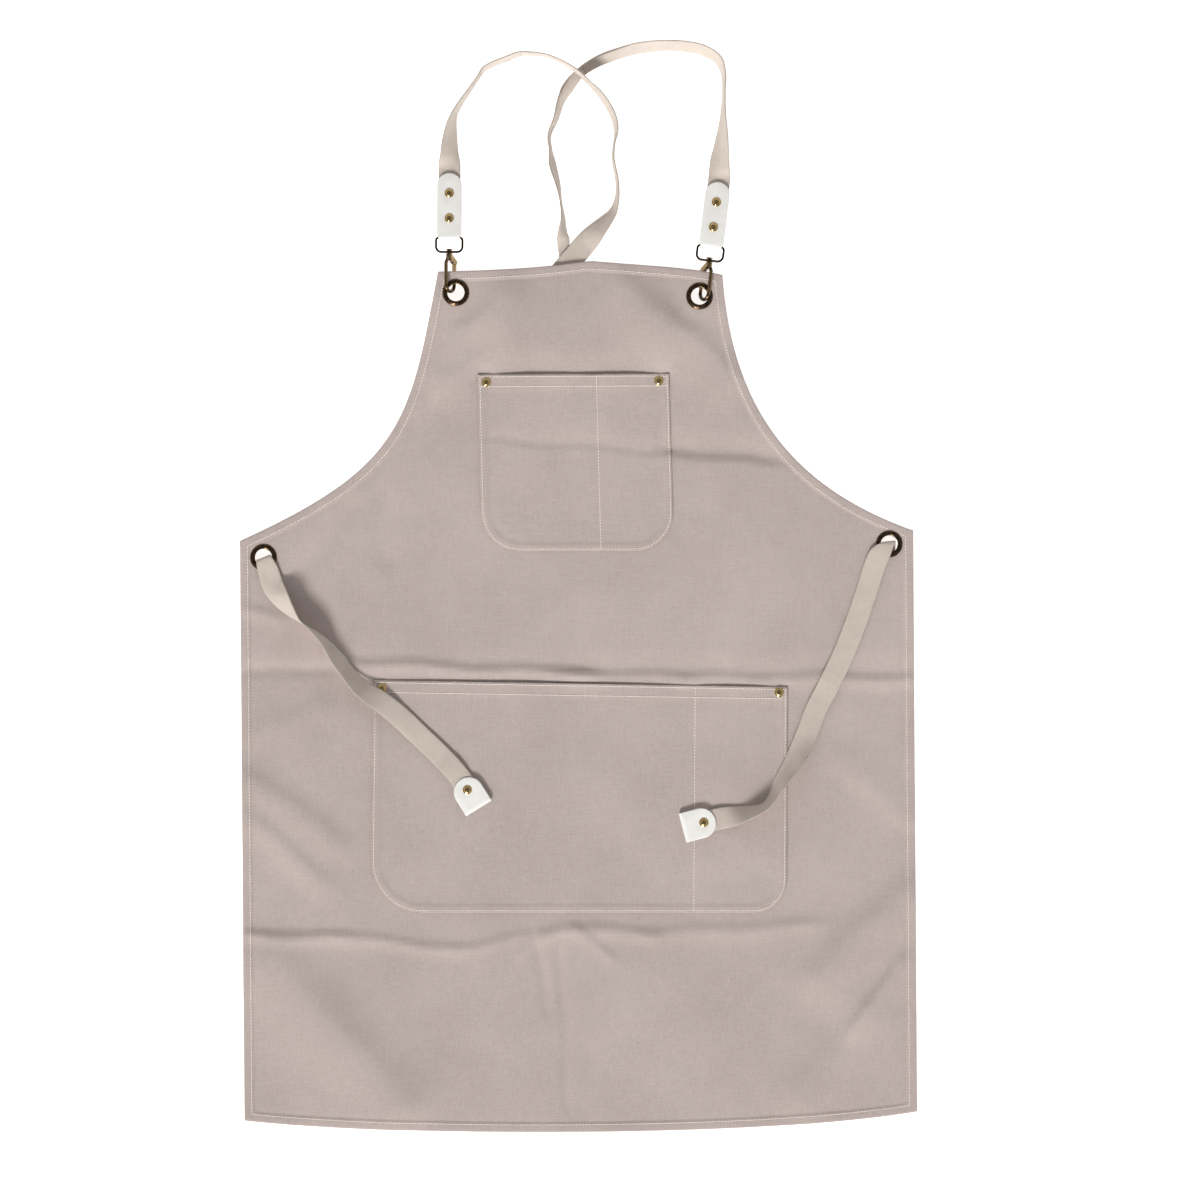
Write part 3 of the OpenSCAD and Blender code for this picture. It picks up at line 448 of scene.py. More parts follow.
def shape_points(loop, rings, pitch, spacing, holes=()):
    """Points and triangles that fill an outline (anticlockwise), finer near its edge and its holes."""
    base = resample(loop, pitch)
    pts, edges = [], []

    def ring(points, closed):
        first = len(pts)
        pts.extend(map(tuple, points))
        if closed:
            edges.extend((first + i, first + (i + 1) % len(points)) for i in range(len(points)))

    ring(base, True)
    for d in rings[1:]:
        inner = inset(base, d)
        ok = edge_distance(inner[:, 0], inner[:, 1], base) > d - 0.05 - 0.02 * d
        ring(inner[ok], False)
    for cx, cy, r in holes:
        for k, rr in enumerate((r, r + 1.2, r + 3, r + 6)):
            n = 40
            a = np.arange(n) * 2 * math.pi / n
            ring(np.c_[cx + rr * np.cos(a), cy + rr * np.sin(a)], k == 0)
    low, high = base.min(0), base.max(0)
    gx, gy = np.meshgrid(np.arange(low[0], high[0], spacing), np.arange(low[1], high[1], spacing))
    gx = gx + (np.arange(gx.shape[0]) % 2)[:, None] * spacing / 2
    gx, gy = gx.ravel(), gy.ravel()
    inside = inside_of(gx, gy, base)
    gx, gy = gx[inside], gy[inside]
    far = edge_distance(gx, gy, base) > rings[-1] + spacing * 0.45
    for cx, cy, r in holes:
        far &= np.hypot(gx - cx, gy - cy) > r + 6 + spacing * 0.4
    pts.extend(zip(gx[far], gy[far]))
    out = geometry.delaunay_2d_cdt([Vector(p) for p in pts], edges, [], 0, 1e-4)
    xy = np.array([tuple(v) for v in out[0]])
    tris = np.array([f for f in out[2] if len(f) == 3])
    mid = xy[tris].mean(1)
    keep = inside_of(mid[:, 0], mid[:, 1], base)
    for cx, cy, r in holes:
        keep &= np.hypot(mid[:, 0] - cx, mid[:, 1] - cy) > r * 0.995
    tris = tris[keep]
    a, b, c = (xy[tris[:, i]] for i in range(3))
    area = (b[:, 0] - a[:, 0]) * (c[:, 1] - a[:, 1]) - (b[:, 1] - a[:, 1]) * (c[:, 0] - a[:, 0])
    tris[area < 0] = tris[area < 0][:, ::-1]
    tris = tris[np.abs(area) > 1e-7]
    used = np.unique(tris)
    remap = np.full(len(xy), -1)
    remap[used] = np.arange(len(used))
    return xy[used], remap[tris], base


def inside_of(px, py, loop):
    inside = np.zeros(len(px), bool)
    for a, b in zip(loop, np.roll(loop, -1, axis=0)):
        cross = (a[1] > py) != (b[1] > py)
        if not cross.any():
            continue
        at = a[0] + (py - a[1]) / (b[1] - a[1] if b[1] != a[1] else 1e-12) * (b[0] - a[0])
        inside ^= cross & (px < at)
    return inside


def closed_sheet(name, top, bottom, tris, material):
    """A closed mesh between two layers of points (in mm) that share their triangles."""
    n = len(top)
    directed = np.vstack([tris[:, [0, 1]], tris[:, [1, 2]], tris[:, [2, 0]]])
    pairs = np.sort(directed, axis=1)
    _, first, count = np.unique(pairs[:, 0] * (n + 1) + pairs[:, 1], return_index=True, return_counts=True)
    rim = directed[first[count == 1]]
    faces = [tuple(t) for t in tris] + [tuple(t[::-1] + n) for t in tris]
    faces += [(b, a, a + n, b + n) for a, b in rim]
    return new_mesh(name, np.vstack([top, bottom]), faces, material)


def new_mesh(name, points_mm, faces, material):
    mesh = bpy.data.meshes.new(name)
    points = [tuple(p) for p in np.asarray(points_mm) * MM]
    mesh.from_pydata(points, [], [tuple(int(i) for i in f) for f in faces])
    mesh.materials.append(material)
    mesh.polygons.foreach_set("use_smooth", [True] * len(mesh.polygons))
    mesh.update()
    obj = bpy.data.objects.new(name, mesh)
    bpy.context.collection.objects.link(obj)
    return obj


# ---------------------------------------------------------------- the panel
CANVAS_T = 0.8
HEM = 9.2
STITCH_IN = 7.6
EYE_R = 9.4
PANEL_RINGS = (0, 0.5, 1.3, 3.2, 5.4, 6.8, 7.6, 8.4, 9.2, 10.0, 11.4, 14.0)    # rings of points in from the edge


def hem_top(d, x, y):
    """How the turned hem stands above the cloth next to it: two more layers, drawn in by the stitches."""
    ridge = 0.55 * (1 - ease((d - HEM + 0.5) / 1.6)) - 0.25 * np.exp(-((d - HEM - 1.4) / 1.6) ** 2)
    groove = -0.20 * np.exp(-((d - STITCH_IN) / 0.8) ** 2)
    roll = -0.7 * (1 - np.sqrt(np.clip(1 - (1 - np.clip(d / 1.2, 0, 1)) ** 2, 0, 1)))
    pressed = np.ones_like(x)
    for hx, hy in HOLES.values():
        pressed *= ease((np.hypot(x - hx, y - hy) - 13.2) / 7)
    return (ridge + groove) * pressed + roll


def make_panel():
    loop = panel_outline()
    holes = [(hx, hy, EYE_R) for hx, hy in HOLES.values()]
    xy, tris, edge = shape_points(loop, PANEL_RINGS, 4.0, 4.2, holes)
    x, y = xy[:, 0], xy[:, 1]
    d = edge_distance(x, y, edge)
    pucker = 0.30 * noise_at(x, y, 6.5, 5.0) * np.exp(-((d - STITCH_IN) / 6.0) ** 2)
    top = cloth_top(x, y) + hem_top(d, x, y) + pucker
    depth = CANVAS_T + 2 * CANVAS_T * (1 - ease((d - HEM + 0.3) / 0.9)) + 0.3 * (d < HEM)
    bottom = np.maximum(top - depth, 0.02)
    panel = closed_sheet("panel_cloth", np.c_[x, y, top], np.c_[x, y, bottom], tris, CANVAS)
    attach(panel, "root")
    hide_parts("apron_panel")
    return panel, edge


panel, PANEL_EDGE = make_panel()


# ---------------------------------------------------------------- stitches
STITCH_PITCH, STITCH_L, STITCH_R = 3.1, 2.5, 0.46
CLEAR_OF_EYES = 14           # no stitches nearer than this to the middle of a grommet


def stitches(name, runs):
    """One mesh of separate stitches along runs of points that lie on the cloth, mm."""
    verts, faces = [], []
    sides, rings = 6, ((-1.0, 0.35), (-0.8, 0.85), (0.0, 1.0), (0.8, 0.85), (1.0, 0.35))
    for run in runs:
        run = np.asarray(run, float)
        length = np.r_[0, np.cumsum(np.linalg.norm(np.diff(run, axis=0), axis=1))]
        count = int(length[-1] / STITCH_PITCH)
        for i in range(count):
            s = (i + 0.5) * length[-1] / count
            head, tail = (np.array([np.interp(s + e * STITCH_L / 2, length, run[:, k]) for k in range(3)])
                          for e in (-1, 1))
            mid = (head + tail) / 2
            along = tail - head
            size = np.linalg.norm(along)
            if size < 0.3:
                continue
            along = along / size
            side = np.cross((0, 0, 1), along)
            side /= np.linalg.norm(side)
            up = np.cross(along, side)
            first = len(verts)
            for place, fat in rings:
                centre = mid + along * place * size / 2 - up * (0.10 + 0.22 * abs(place) ** 3)
                for k in range(sides):
                    a = 2 * math.pi * k / sides
                    verts.append(centre + STITCH_R * fat * (side * math.cos(a) + up * math.sin(a)))
            for r in range(len(rings) - 1):
                for k in range(sides):
                    p, q = first + r * sides + k, first + r * sides + (k + 1) % sides
                    faces.append((p, q, q + sides, p + sides))
            faces.append(tuple(first + k for k in range(sides))[::-1])
            faces.append(tuple(first + (len(rings) - 1) * sides + k for k in range(sides)))
    obj = new_mesh(name, verts, faces, THREAD)
    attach(obj, "root")
    return obj


def hem_run():
    """The hem's stitch line on the cloth, in runs between the grommets."""
    line = inset(PANEL_EDGE, STITCH_IN)
    line = line[edge_distance(line[:, 0], line[:, 1], PANEL_EDGE) > STITCH_IN - 0.4]
    line = np.vstack([line, line[:1]])
    x, y = line[:, 0], line[:, 1]
    z = cloth_top(x, y) + hem_top(np.full(len(x), STITCH_IN), x, y) + 0.28
    clear = np.min([np.hypot(x - hx, y - hy) for hx, hy in HOLES.values()], axis=0) > CLEAR_OF_EYES
    cuts = np.flatnonzero(np.diff(clear)) + 1
    runs = zip(np.split(np.c_[x, y, z], cuts), np.split(clear, cuts))
    return [run for run, ok in runs if ok[0] and len(run) > 1]


hem_threads = stitches("hem_threads", hem_run())
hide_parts("hem_stitching")


# ---------------------------------------------------------------- pockets
def mix(a, b, t):
    return np.asarray(a, float) + (np.asarray(b, float) - np.asarray(a, float)) * t


PATCH_HEM, MOUTH_HEM = 6.5, 13.0     # how far the turned edges of a patch reach in, mm
SEAM_IN, MOUTH_SEAM = 2.2, 12.0      # its stitches: in from its edge, and down from its mouth, mm
RIVET_ZONE = 14.5                    # the mouth is held down this far in from each side, mm


class Pocket:
    """A patch sewn on at its sides, bottom and divider, open at its mouth."""

    def __init__(self, name, corners, radii, divider, gape, seed):
        self.name, self.radii, self.divider, self.gape_high, self.seed = name, radii, divider, gape, seed
        self.c = [np.array(p, float) for p in corners]
        self.width, self.height = (np.linalg.norm(self.c[k] - self.c[0]) for k in (1, 3))

    def outline(self):
        tl, tr, br, bl = self.c
        return np.array([tl] + self.arc(tl, bl, br, self.radii[0]) + self.arc(bl, br, tr, self.radii[1]) + [tr])

    @staticmethod
    def arc(before, corner, after, r, n=14):
        """A round corner: from the side before it to the side after it."""
        u, v = before - corner, after - corner
        u, v = u / np.linalg.norm(u), v / np.linalg.norm(v)
        half = math.acos(np.clip(u @ v, -1, 1)) / 2
        reach = r / math.tan(half)
        centre = corner + (u + v) / np.linalg.norm(u + v) * r / math.sin(half)
        a, b = corner + u * reach - centre, corner + v * reach - centre
        a0, b0 = math.atan2(a[1], a[0]), math.atan2(b[1], b[0])
        sweep = (b0 - a0 + math.pi) % (2 * math.pi) - math.pi
        angles = [a0 + sweep * k / n for k in range(n + 1)]
        return [centre + r * np.array([math.cos(a), math.sin(a)]) for a in angles]

    def st(self, x, y):
        """Where a point is: s across from left to right, t down from the mouth."""
        tl, tr, br, bl = self.c
        t = (tl[1] + (tr[1] - tl[1]) * (x - tl[0]) / (tr[0] - tl[0]) - y) / (tl[1] - bl[1])
        left, right = tl[0] + (bl[0] - tl[0]) * t, tr[0] + (br[0] - tr[0]) * t
        return (x - left) / (right - left), t

    def gape(self, x, y):
        s, t = self.st(x, y)
        sd, held = self.divider, RIVET_ZONE / self.width
        u = np.where(s < sd, (s - held) / (sd - held), (s - sd) / (1 - held - sd))
        wide = np.sin(math.pi * np.clip(u, 0, 1)) ** 0.8 * np.where(s < sd, 1, min(1, 3.6 * (1 - sd)))
        return self.gape_high * wide * np.clip(1 - t, 0, 1) ** 1.5

    def top(self, x, y, d=None):
        """Top of the patch: doubled at its edges and its mouth, drawn down at its seams."""
        s, t = self.st(x, y)
        if d is None:
            d = edge_distance(x, y, self.edge)
        down = t * self.height
        side = np.where(down < 14, np.minimum(s, 1 - s) * 300, d)
        fold = 0.55 * (1 - ease((side - PATCH_HEM) / 2.0)) + 0.55 * (1 - ease((down - MOUTH_HEM) / 1.6))
        groove = -0.18 * np.exp(-((side - SEAM_IN) / 0.8) ** 2) - 0.20 * np.exp(-((down - MOUTH_SEAM) / 0.8) ** 2)
        seam = np.abs(s - self.divider) * self.width
        groove = groove - 0.35 * np.exp(-(seam / 1.2) ** 2)
        waves = 0.35 * noise_at(x, y, 45.0, self.seed) + 0.12 * noise_at(x, y, 14.0, self.seed + 4)
        inside = ease(np.minimum(d, 25) / 25)
        pucker = 0.22 * noise_at(x, y, 5.5, self.seed + 9) * np.exp(-((side - SEAM_IN) / 5.0) ** 2)
        return cloth_top(x, y) + CANVAS_T + 0.15 + self.gape(x, y) + fold + groove + waves * inside + pucker

    def build(self):
        xy, tris, self.edge = shape_points(self.outline(), (0, 0.6, 1.5, 2.2, 3.0, 4.5, 6.5, 8.5), 3.0, 3.4)
        x, y = xy[:, 0], xy[:, 1]
        d = edge_distance(x, y, self.edge)
        top = self.top(x, y, d)
        roll = -0.45 * (1 - np.sqrt(np.clip(1 - (1 - np.clip(d / 0.8, 0, 1)) ** 2, 0, 1)))
        bottom = np.minimum(cloth_top(x, y) + 0.12 + self.gape(x, y) * 0.98, top + roll - 0.35)
        obj = closed_sheet(self.name + "_cloth", np.c_[x, y, top + roll], np.c_[x, y, bottom], tris, CANVAS)
        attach(obj, "root")
        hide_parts(self.name)
        threads = stitches(self.name + "_threads", self.seams())
        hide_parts(self.name + "_stitching")

    def seams(self):
        """The runs of stitches on the patch: round its edge, along its mouth and down its divider."""
        line = inset(self.edge, SEAM_IN)
        s, t = self.st(line[:, 0], line[:, 1])
        keep = t * self.height > 1.5
        start = int(np.argmax(~keep & np.roll(keep, -1))) + 1
        order = (np.arange(len(line)) + start) % len(line)
        side = line[[i for i in order if keep[i]]]
        k = np.linspace(0, 1, 60)
        tl, tr, br, bl = self.c
        drop = MOUTH_SEAM / self.height
        mouth = mix(mix(tl, bl, drop), mix(tr, br, drop), k[:, None] * 0.976 + 0.012)
        cut = mix(mix(tl, tr, self.divider), mix(bl, br, self.divider), k[:, None] * 0.985 + 0.006)
        return [np.c_[run, self.top(run[:, 0], run[:, 1]) + 0.30] for run in (side, mouth, cut)]


BIB_POCKET = Pocket("bib_pocket", [(-100.8, 211.7), (90.5, 212.7), (95.5, 35.5), (-96.5, 35.5)],
                    (40, 38), 0.62, 1.8, 21.0)
HAND_POCKET = Pocket("hand_pocket", [(-204.8, -93.5), (209, -100.5), (208, -326), (-207.9, -326)],
                     (52, 33), 0.777, 1.8, 33.0)
for pocket in (BIB_POCKET, HAND_POCKET):
    pocket.build()


def surface(x, y):
    """Height of whatever lies on top at each point: the panel, or a pocket on it."""
    z = cloth_top(x, y)
    for p in (BIB_POCKET, HAND_POCKET):
        s, t = p.st(x, y)
        on = (s > 0) & (s < 1) & (t > 0) & (t < 1)
        if on.any():
            z[on] = np.maximum(z[on], p.top(x[on], y[on]))
    return z


# ---------------------------------------------------------------- webbing
TAPE = (22, 1.5)             # the webbing's usual width and thickness, mm
# Each row: x, y, lift and tilt; then width and thickness where they differ, and at a fold the turn of its width
LEFT_LOOP = [
    (-129, 414.3, 2.7, 0), (-129, 416.6, 2.5, 0), (-129, 431, 0.8, 33), (-128.5, 448, 0, 50),
    (-127, 460, 0, 63), (-124, 471.3, 0, 76), (-117.8, 482.5, 0, 81), (-109, 495, 0, 84), (-99.5, 509, 0, 85),
    (-95, 516, 0, 83), (-89, 519.6, 0, 81), (-71, 527, 0, 81), (-58.5, 531.6, 0.5, 84), (-46, 531.6, 1.6, 86),
    (-31.5, 529.6, 3.4, 87), (-19, 524.5, 5.4, 86), (-8.5, 518.8, 7.2, 86), (0.5, 512, 8.6, 85),
    (11, 502, 6.8, 83), (21.5, 491.5, 3, 79), (30.6, 478.5, 0.4, 77), (36, 466, 0, 77), (37.8, 453.5, 0, 81),
    (35.6, 441.5, 0, 86), (34.6, 429, 0, 86), (38.5, 405.5, 0, 84), (38.2, 385, 0, 78), (34.3, 373.5, 0, 66),
    (28.2, 366, 0.4, 54), (18.6, 355.5, 1.8, 34), (11.4, 347.5, 3, 12), (4.6, 340, 3, 0), (-4.4, 329.5, 2.8, 0),
    (-20.2, 311, 2.2, 0)]
RIGHT_LOOP = [
    (140.38, 405.2, 2.7, 0), (140.63, 407.3, 2.5, 0), (140.8, 417, 1.4, -22), (141.1, 426, 0.6, -32),
    (142.5, 438, 0, -48), (143.5, 449, 0, -58), (144.5, 471, 0, -77), (145.2, 494, 0, -84),
    (145, 511.5, 0, -80), (140, 525.5, 0, -72), (127, 534.3, 0, -66), (108.5, 539, 0, -66), (85.5, 540, 0, -66),
    (62.5, 538, 0, -63, 21, 1.5), (39.5, 532.3, 0, -52, 15, 3), (18.5, 524.5, 0, -22, 10.5, 5.6),
    (2.5, 514, 0, -3, 10, 6.6), (-8.5, 501.5, 0, -30, 12, 5), (-16.5, 487.5, 0, -66, 18, 2),
    (-22.5, 467.5, 0, -78), (-29.5, 448.5, 0, -84), (-28.2, 437.5, 0, -84), (-26, 421.5, 0, -72),
    (-21, 402.5, 0, -78), (-17.8, 384.5, 0, -86), (-15.6, 367, 0, -80), (-15.9, 353, 0, -60, 18, 1.5),
    (-15.3, 345.5, 0, -18, 13, 2), (-14.8, 338, 0, -1, 12, 2), (-12.5, 329, 0, 0, 13, 2),
    (-4, 316.5, 0, 0, 18, 1.5), (11, 295, 0, 0)]
LEFT_BACK = [
    (-20.9, 310.2, 2.2, 0), (-22.2, 308.7, 2.1, 0), (-60, 257.9, 0.5, 0), (-150, 136.8, 0, 0),
    (-274, -30, 0, 0), (-284.5, -44.5, 0, 0, 25.2, 1.5, -7), (-284.7, -46.1, 0.85, 0, 25.2, 1.5, -7),
    (-284.5, -44.5, 1.7, 0, 25.2, 1.5, -7), (-291, -28.5, 1.7, 0, 22, 1.5, 22),
    (-303, 0.5, 0.2, 0, 22, 1.5, 22), (-311.5, 20.8, 0, 0, 19, 1.5, 22), (-314.3, 27.2, 0, 0, 16.4, 1.5, 22),
    (-314.9, 28.6, 0.9, 0, 15.2, 1.5, 22), (-314.9, 28.6, 2.4, 0, 15.2, 1.5, 22),
    (-314.9, 28.6, 4.6, 0, 15.2, 1.5, 22)]
RIGHT_BACK = [
    (11.4, 294.5, 0, 0), (12.6, 292.8, 0, 0), (60, 239, 0, 0), (272, -19.7, 0, 0),
    (282.5, -32.5, 0, 0, 25, 1.5, 9), (282.7, -34.1, 0.85, 0, 25, 1.5, 9), (282.5, -32.5, 1.7, 0, 25, 1.5, 9),
    (289, -15, 1.7, 0, 22, 1.5, -19), (299, 13.5, 0.2, 0, 22, 1.5, -18), (306.3, 34.5, 0, 0, 19, 1.5, -12),
    (309.3, 43, 0, 0, 15.6, 1.5, 2), (309.9, 44.6, 0.9, 0, 14.2, 1.5, 6), (309.9, 44.6, 2.4, 0, 14.2, 1.5, 6),
    (309.9, 44.6, 4.6, 0, 14.2, 1.5, 6)]
LEFT_TIE = [
    (-314.9, 28.6, 0.4, 0, 15.2, 1.5, 22), (-314.7, 28.1, 1.5, 0, 15.4, 1.5, 22),
    (-314, 26.2, 2.3, 0, 16.6, 1.5, 22), (-312.2, 21.6, 2.2, 0, 19, 1.5, 22), (-310, 15.5, 1.4, 0, 21, 1.5, 22),
    (-305.4, 1.5, 0.3, 6), (-298.3, -10.5, 0.2, 30), (-289.2, -22.5, 0, 57), (-277.5, -35, 0, 85),
    (-266, -43.5, 0, 95), (-252.5, -56, 0, 110), (-241, -71.5, 0.2, 126), (-229.5, -86.5, 0.6, 130),
    (-218.5, -99.5, 2.6, 140), (-209, -107, 3.4, 150), (-198.5, -114, 3.4, 160), (-180, -129, 1.2, 172),
    (-160.5, -147.5, 0.8, 180), (-137.5, -169.5, 1.2, 180), (-121.5, -187, 2.6, 180), (-103, -216, 2.7, 180)]
RIGHT_TIE = [
    (309.9, 44.6, 0.4, 0, 14.2, 1.5, 6), (309.4, 44, 1.5, 0, 14.6, 1.5, 4), (306.2, 40.8, 2.3, 0, 17, 1.5, -6),
    (302.4, 35.2, 2.2, 0, 20.5, 1.5, -16), (298.9, 28.3, 1.4, 0, 22, 1.5, -20), (294.7, 17, 0.4, 0),
    (290.9, 4.5, 0.2, 0), (279.5, -29.5, 0.2, 0), (266.5, -63.5, 0.4, 0), (250.5, -97.5, 0.4, 0),
    (236, -126.5, 0.4, 0), (228.5, -146.5, 0.6, 4), (214.5, -175.5, 0.8, 34), (201, -196, 0.4, 56),
    (194, -210, 0.2, 68), (187, -219, 0.2, 72), (174.5, -224.5, 0.2, 62), (160, -228.2, 0.6, 38),
    (149.5, -230.4, 1.8, 14), (141.5, -232, 2.6, 0), (110, -240, 2.7, 0)]


def smooth_through(values, s, at):
    """A smooth curve through the values at distances s, which does not overshoot them."""
    h = np.diff(s)
    slope = np.diff(values) / h
    m = np.r_[slope[0], np.zeros(len(values) - 2), slope[-1]]
    both = slope[:-1] * slope[1:] > 0
    w1, w2 = 2 * h[1:] + h[:-1], h[1:] + 2 * h[:-1]
    with np.errstate(divide="ignore", invalid="ignore"):
        inner = (w1 + w2) / (w1 / slope[:-1] + w2 / slope[1:])
    m[1:-1] = np.where(both, inner, 0)
    return hermite(values, m, s, at)


def hermite(values, m, s, at):
    i = np.clip(np.searchsorted(s, at, "right") - 1, 0, len(s) - 2)
    h = s[i + 1] - s[i]
    t = (at - s[i]) / h
    return ((2 * t ** 3 - 3 * t ** 2 + 1) * values[i] + (t ** 3 - 2 * t ** 2 + t) * h * m[i]
            + (3 * t ** 2 - 2 * t ** 3) * values[i + 1] + (t ** 3 - t ** 2) * h * m[i + 1])


def curve_through(values, s, at):
    """A rounder curve through the values, with central slopes."""
    return hermite(values, np.gradient(values, s), s, at)


def blurred(values, n):
    if n < 1:
        return values
    k = np.hanning(2 * n + 3)[1:-1]
    k /= k.sum()
    return np.convolve(np.pad(values, n, mode="edge"), k, "valid")


def tape_path(rows, on_cloth=False, pitch=2.5):
    """Close places along the tape: its middle, width and thickness, and the directions of its width and face."""
    r = np.array([(*row, *TAPE) if len(row) == 4 else row[:6] for row in rows], float)
    s = np.r_[0, np.cumsum(np.maximum(np.linalg.norm(np.diff(r[:, :3], axis=0), axis=1), 0.3))]
    at = np.linspace(0, s[-1], max(8, int(s[-1] / pitch)))
    at = at[np.abs(at[:, None] - s).min(1) > 0.6]
    at = np.sort(np.r_[at, s])
    x, y = curve_through(r[:, 0], s, at), curve_through(r[:, 1], s, at)
    lift, tilt, wide, thick = (smooth_through(r[:, k], s, at) for k in (2, 3, 4, 5))
    rad = np.radians(tilt)
    if on_cloth:
        spread = wide / 2 * np.abs(np.cos(rad))
        under = np.stack([surface(x + spread * e, y) for e in (-1, -0.5, 0, 0.5, 1)]
                         + [surface(x, y + spread * e) for e in (-1, -0.5, 0.5, 1)])
        ground = blurred(under.max(0) * 0.6 + under.mean(0) * 0.4, 4) + 0.15
    else:
        ground = np.zeros_like(x)
    z = ground + lift + wide / 2 * np.abs(np.sin(rad)) + thick / 2 * np.abs(np.cos(rad))
    mid = np.c_[x, y, z]
    travel = np.gradient(mid, axis=0)
    flat = np.c_[-travel[:, 1], travel[:, 0], np.zeros(len(x))]
    size = np.linalg.norm(flat, axis=1)
    flat = flat / np.maximum(size, 1e-9)[:, None]
    turned = [i for i, row in enumerate(rows) if len(row) > 6]
    if turned:
        given = np.array([len(row) > 6 for row in rows], float)
        angle = np.interp(at, s, np.interp(np.arange(len(rows)), turned, [rows[i][6] for i in turned]))
        weight = np.interp(at, s, given)[:, None]
        fixed = np.c_[np.cos(np.radians(angle)), np.sin(np.radians(angle)), np.zeros(len(x))]
        flip = np.sign((fixed * flat).sum(1, keepdims=True))
        flip = np.where(weight > 0.999, 1, flip)
        flat = fixed * weight * flip + flat * (1 - weight)
        flat /= np.linalg.norm(flat, axis=1)[:, None]
    side = flat * np.cos(rad)[:, None] + np.array([0, 0, 1.0]) * np.sin(rad)[:, None]
    up = np.cross(travel, side)
    up /= np.maximum(np.linalg.norm(up, axis=1), 1e-9)[:, None]
    return {"s": at, "mid": mid, "wide": wide, "thick": thick, "side": side, "up": up}


def part_of(path, first, last):
    keep = (path["s"] >= first - 1e-6) & (path["s"] <= last + 1e-6)
    return {k: v[keep] for k, v in path.items()}


def tape_mesh(name, path, cup=0.0):
    """A tape with rounded edges and soft ends, and the tape's own u and v."""
    n = len(path["s"])
    mid, s, side, up = (path[k] for k in ("mid", "s", "side", "up"))
    across = np.array([-1, -0.985, -0.93, -0.75, -0.4, 0, 0.4, 0.75, 0.93, 0.985, 1])
    profile = np.array([0.25, 0.62, 0.92, 1, 1, 1, 1, 1, 0.92, 0.62, 0.25])
    ring, uv = [], []
    for sign, order in ((1, range(len(across))), (-1, reversed(range(len(across))))):
        for k in order:
            a = across[k]
            waver = 0.12 * np.sin(s / 13.0 + a * 2.0) + 0.08 * np.sin(s / 5.1 - a * 3.0)
            bend = (cup * (a * a - 0.4) + waver * 0.5) * np.minimum(1, path["wide"] / 20)
            ring.append(mid + side * (a * path["wide"] / 2)[:, None]
                        + up * (sign * profile[k] * path["thick"] / 2 + bend)[:, None])
            uv.append(a * 11.0)
    m = len(ring)
    points = np.stack(ring, axis=1).reshape(-1, 3)
    faces, uvs = [], []
    for i in range(n - 1):
        for k in range(m):
            q = (k + 1) % m
            faces.append((i * m + k, i * m + q, (i + 1) * m + q, (i + 1) * m + k))
            uvs.append(((s[i], uv[k]), (s[i], uv[q]), (s[i + 1], uv[q]), (s[i + 1], uv[k])))
    caps = [(first + k, first + m - 1 - k, first + m - 2 - k, first + k + 1)[::turn]
            for first, turn in ((0, 1), ((n - 1) * m, -1)) for k in range(m // 2 - 1)]
    faces += caps
    uvs += [((0, 0),) * 4] * len(caps)
    obj = new_mesh(name, points, faces, WEBBING)
    for polygon in obj.data.polygons[-len(caps):]:
        polygon.use_smooth = False
    layer = obj.data.uv_layers.new(name="tape")
    layer.data.foreach_set("uv", np.array(uvs, float).ravel() * MM)
    return obj


def length_of(path):
    return float(np.linalg.norm(np.diff(path["mid"], axis=0), axis=1).sum())


# ---------------------------------------------------------------- clasp frames
SWIVEL_Z = 10.2
CLASPS = {"left": (-129, 332.4, 0, 1), "right": (130.4, 323.9, -7, -1)}
LOOP_IN_W, LOOP_WIRE, LOOP_TOP = 24, 2.4, 14.5
BAR_Y = LOOP_TOP + LOOP_WIRE / 2 + 0.3
TAB_W, TAB_L, TAB_PITCH, LEATHER_T = 25, 64.8, 6, 1.5
FOLD_IN = 3.7
TAB_RIVET_YS = (18.9, 44.3)


def clasp_frame(side):
    x, y, yaw, _ = CLASPS[side]
    return Matrix.Translation((x, y, SWIVEL_Z)) @ Matrix.Rotation(math.radians(yaw), 4, "Z")


def tab_frame(side):
    tilt = Matrix.Rotation(math.radians(-TAB_PITCH), 4, "X")
    return clasp_frame(side) @ Matrix.Translation((0, BAR_Y, 0)) @ tilt


def placed(points, matrix):
    m = np.array(matrix)
    return np.asarray(points) @ m[:3, :3].T + m[:3, 3]


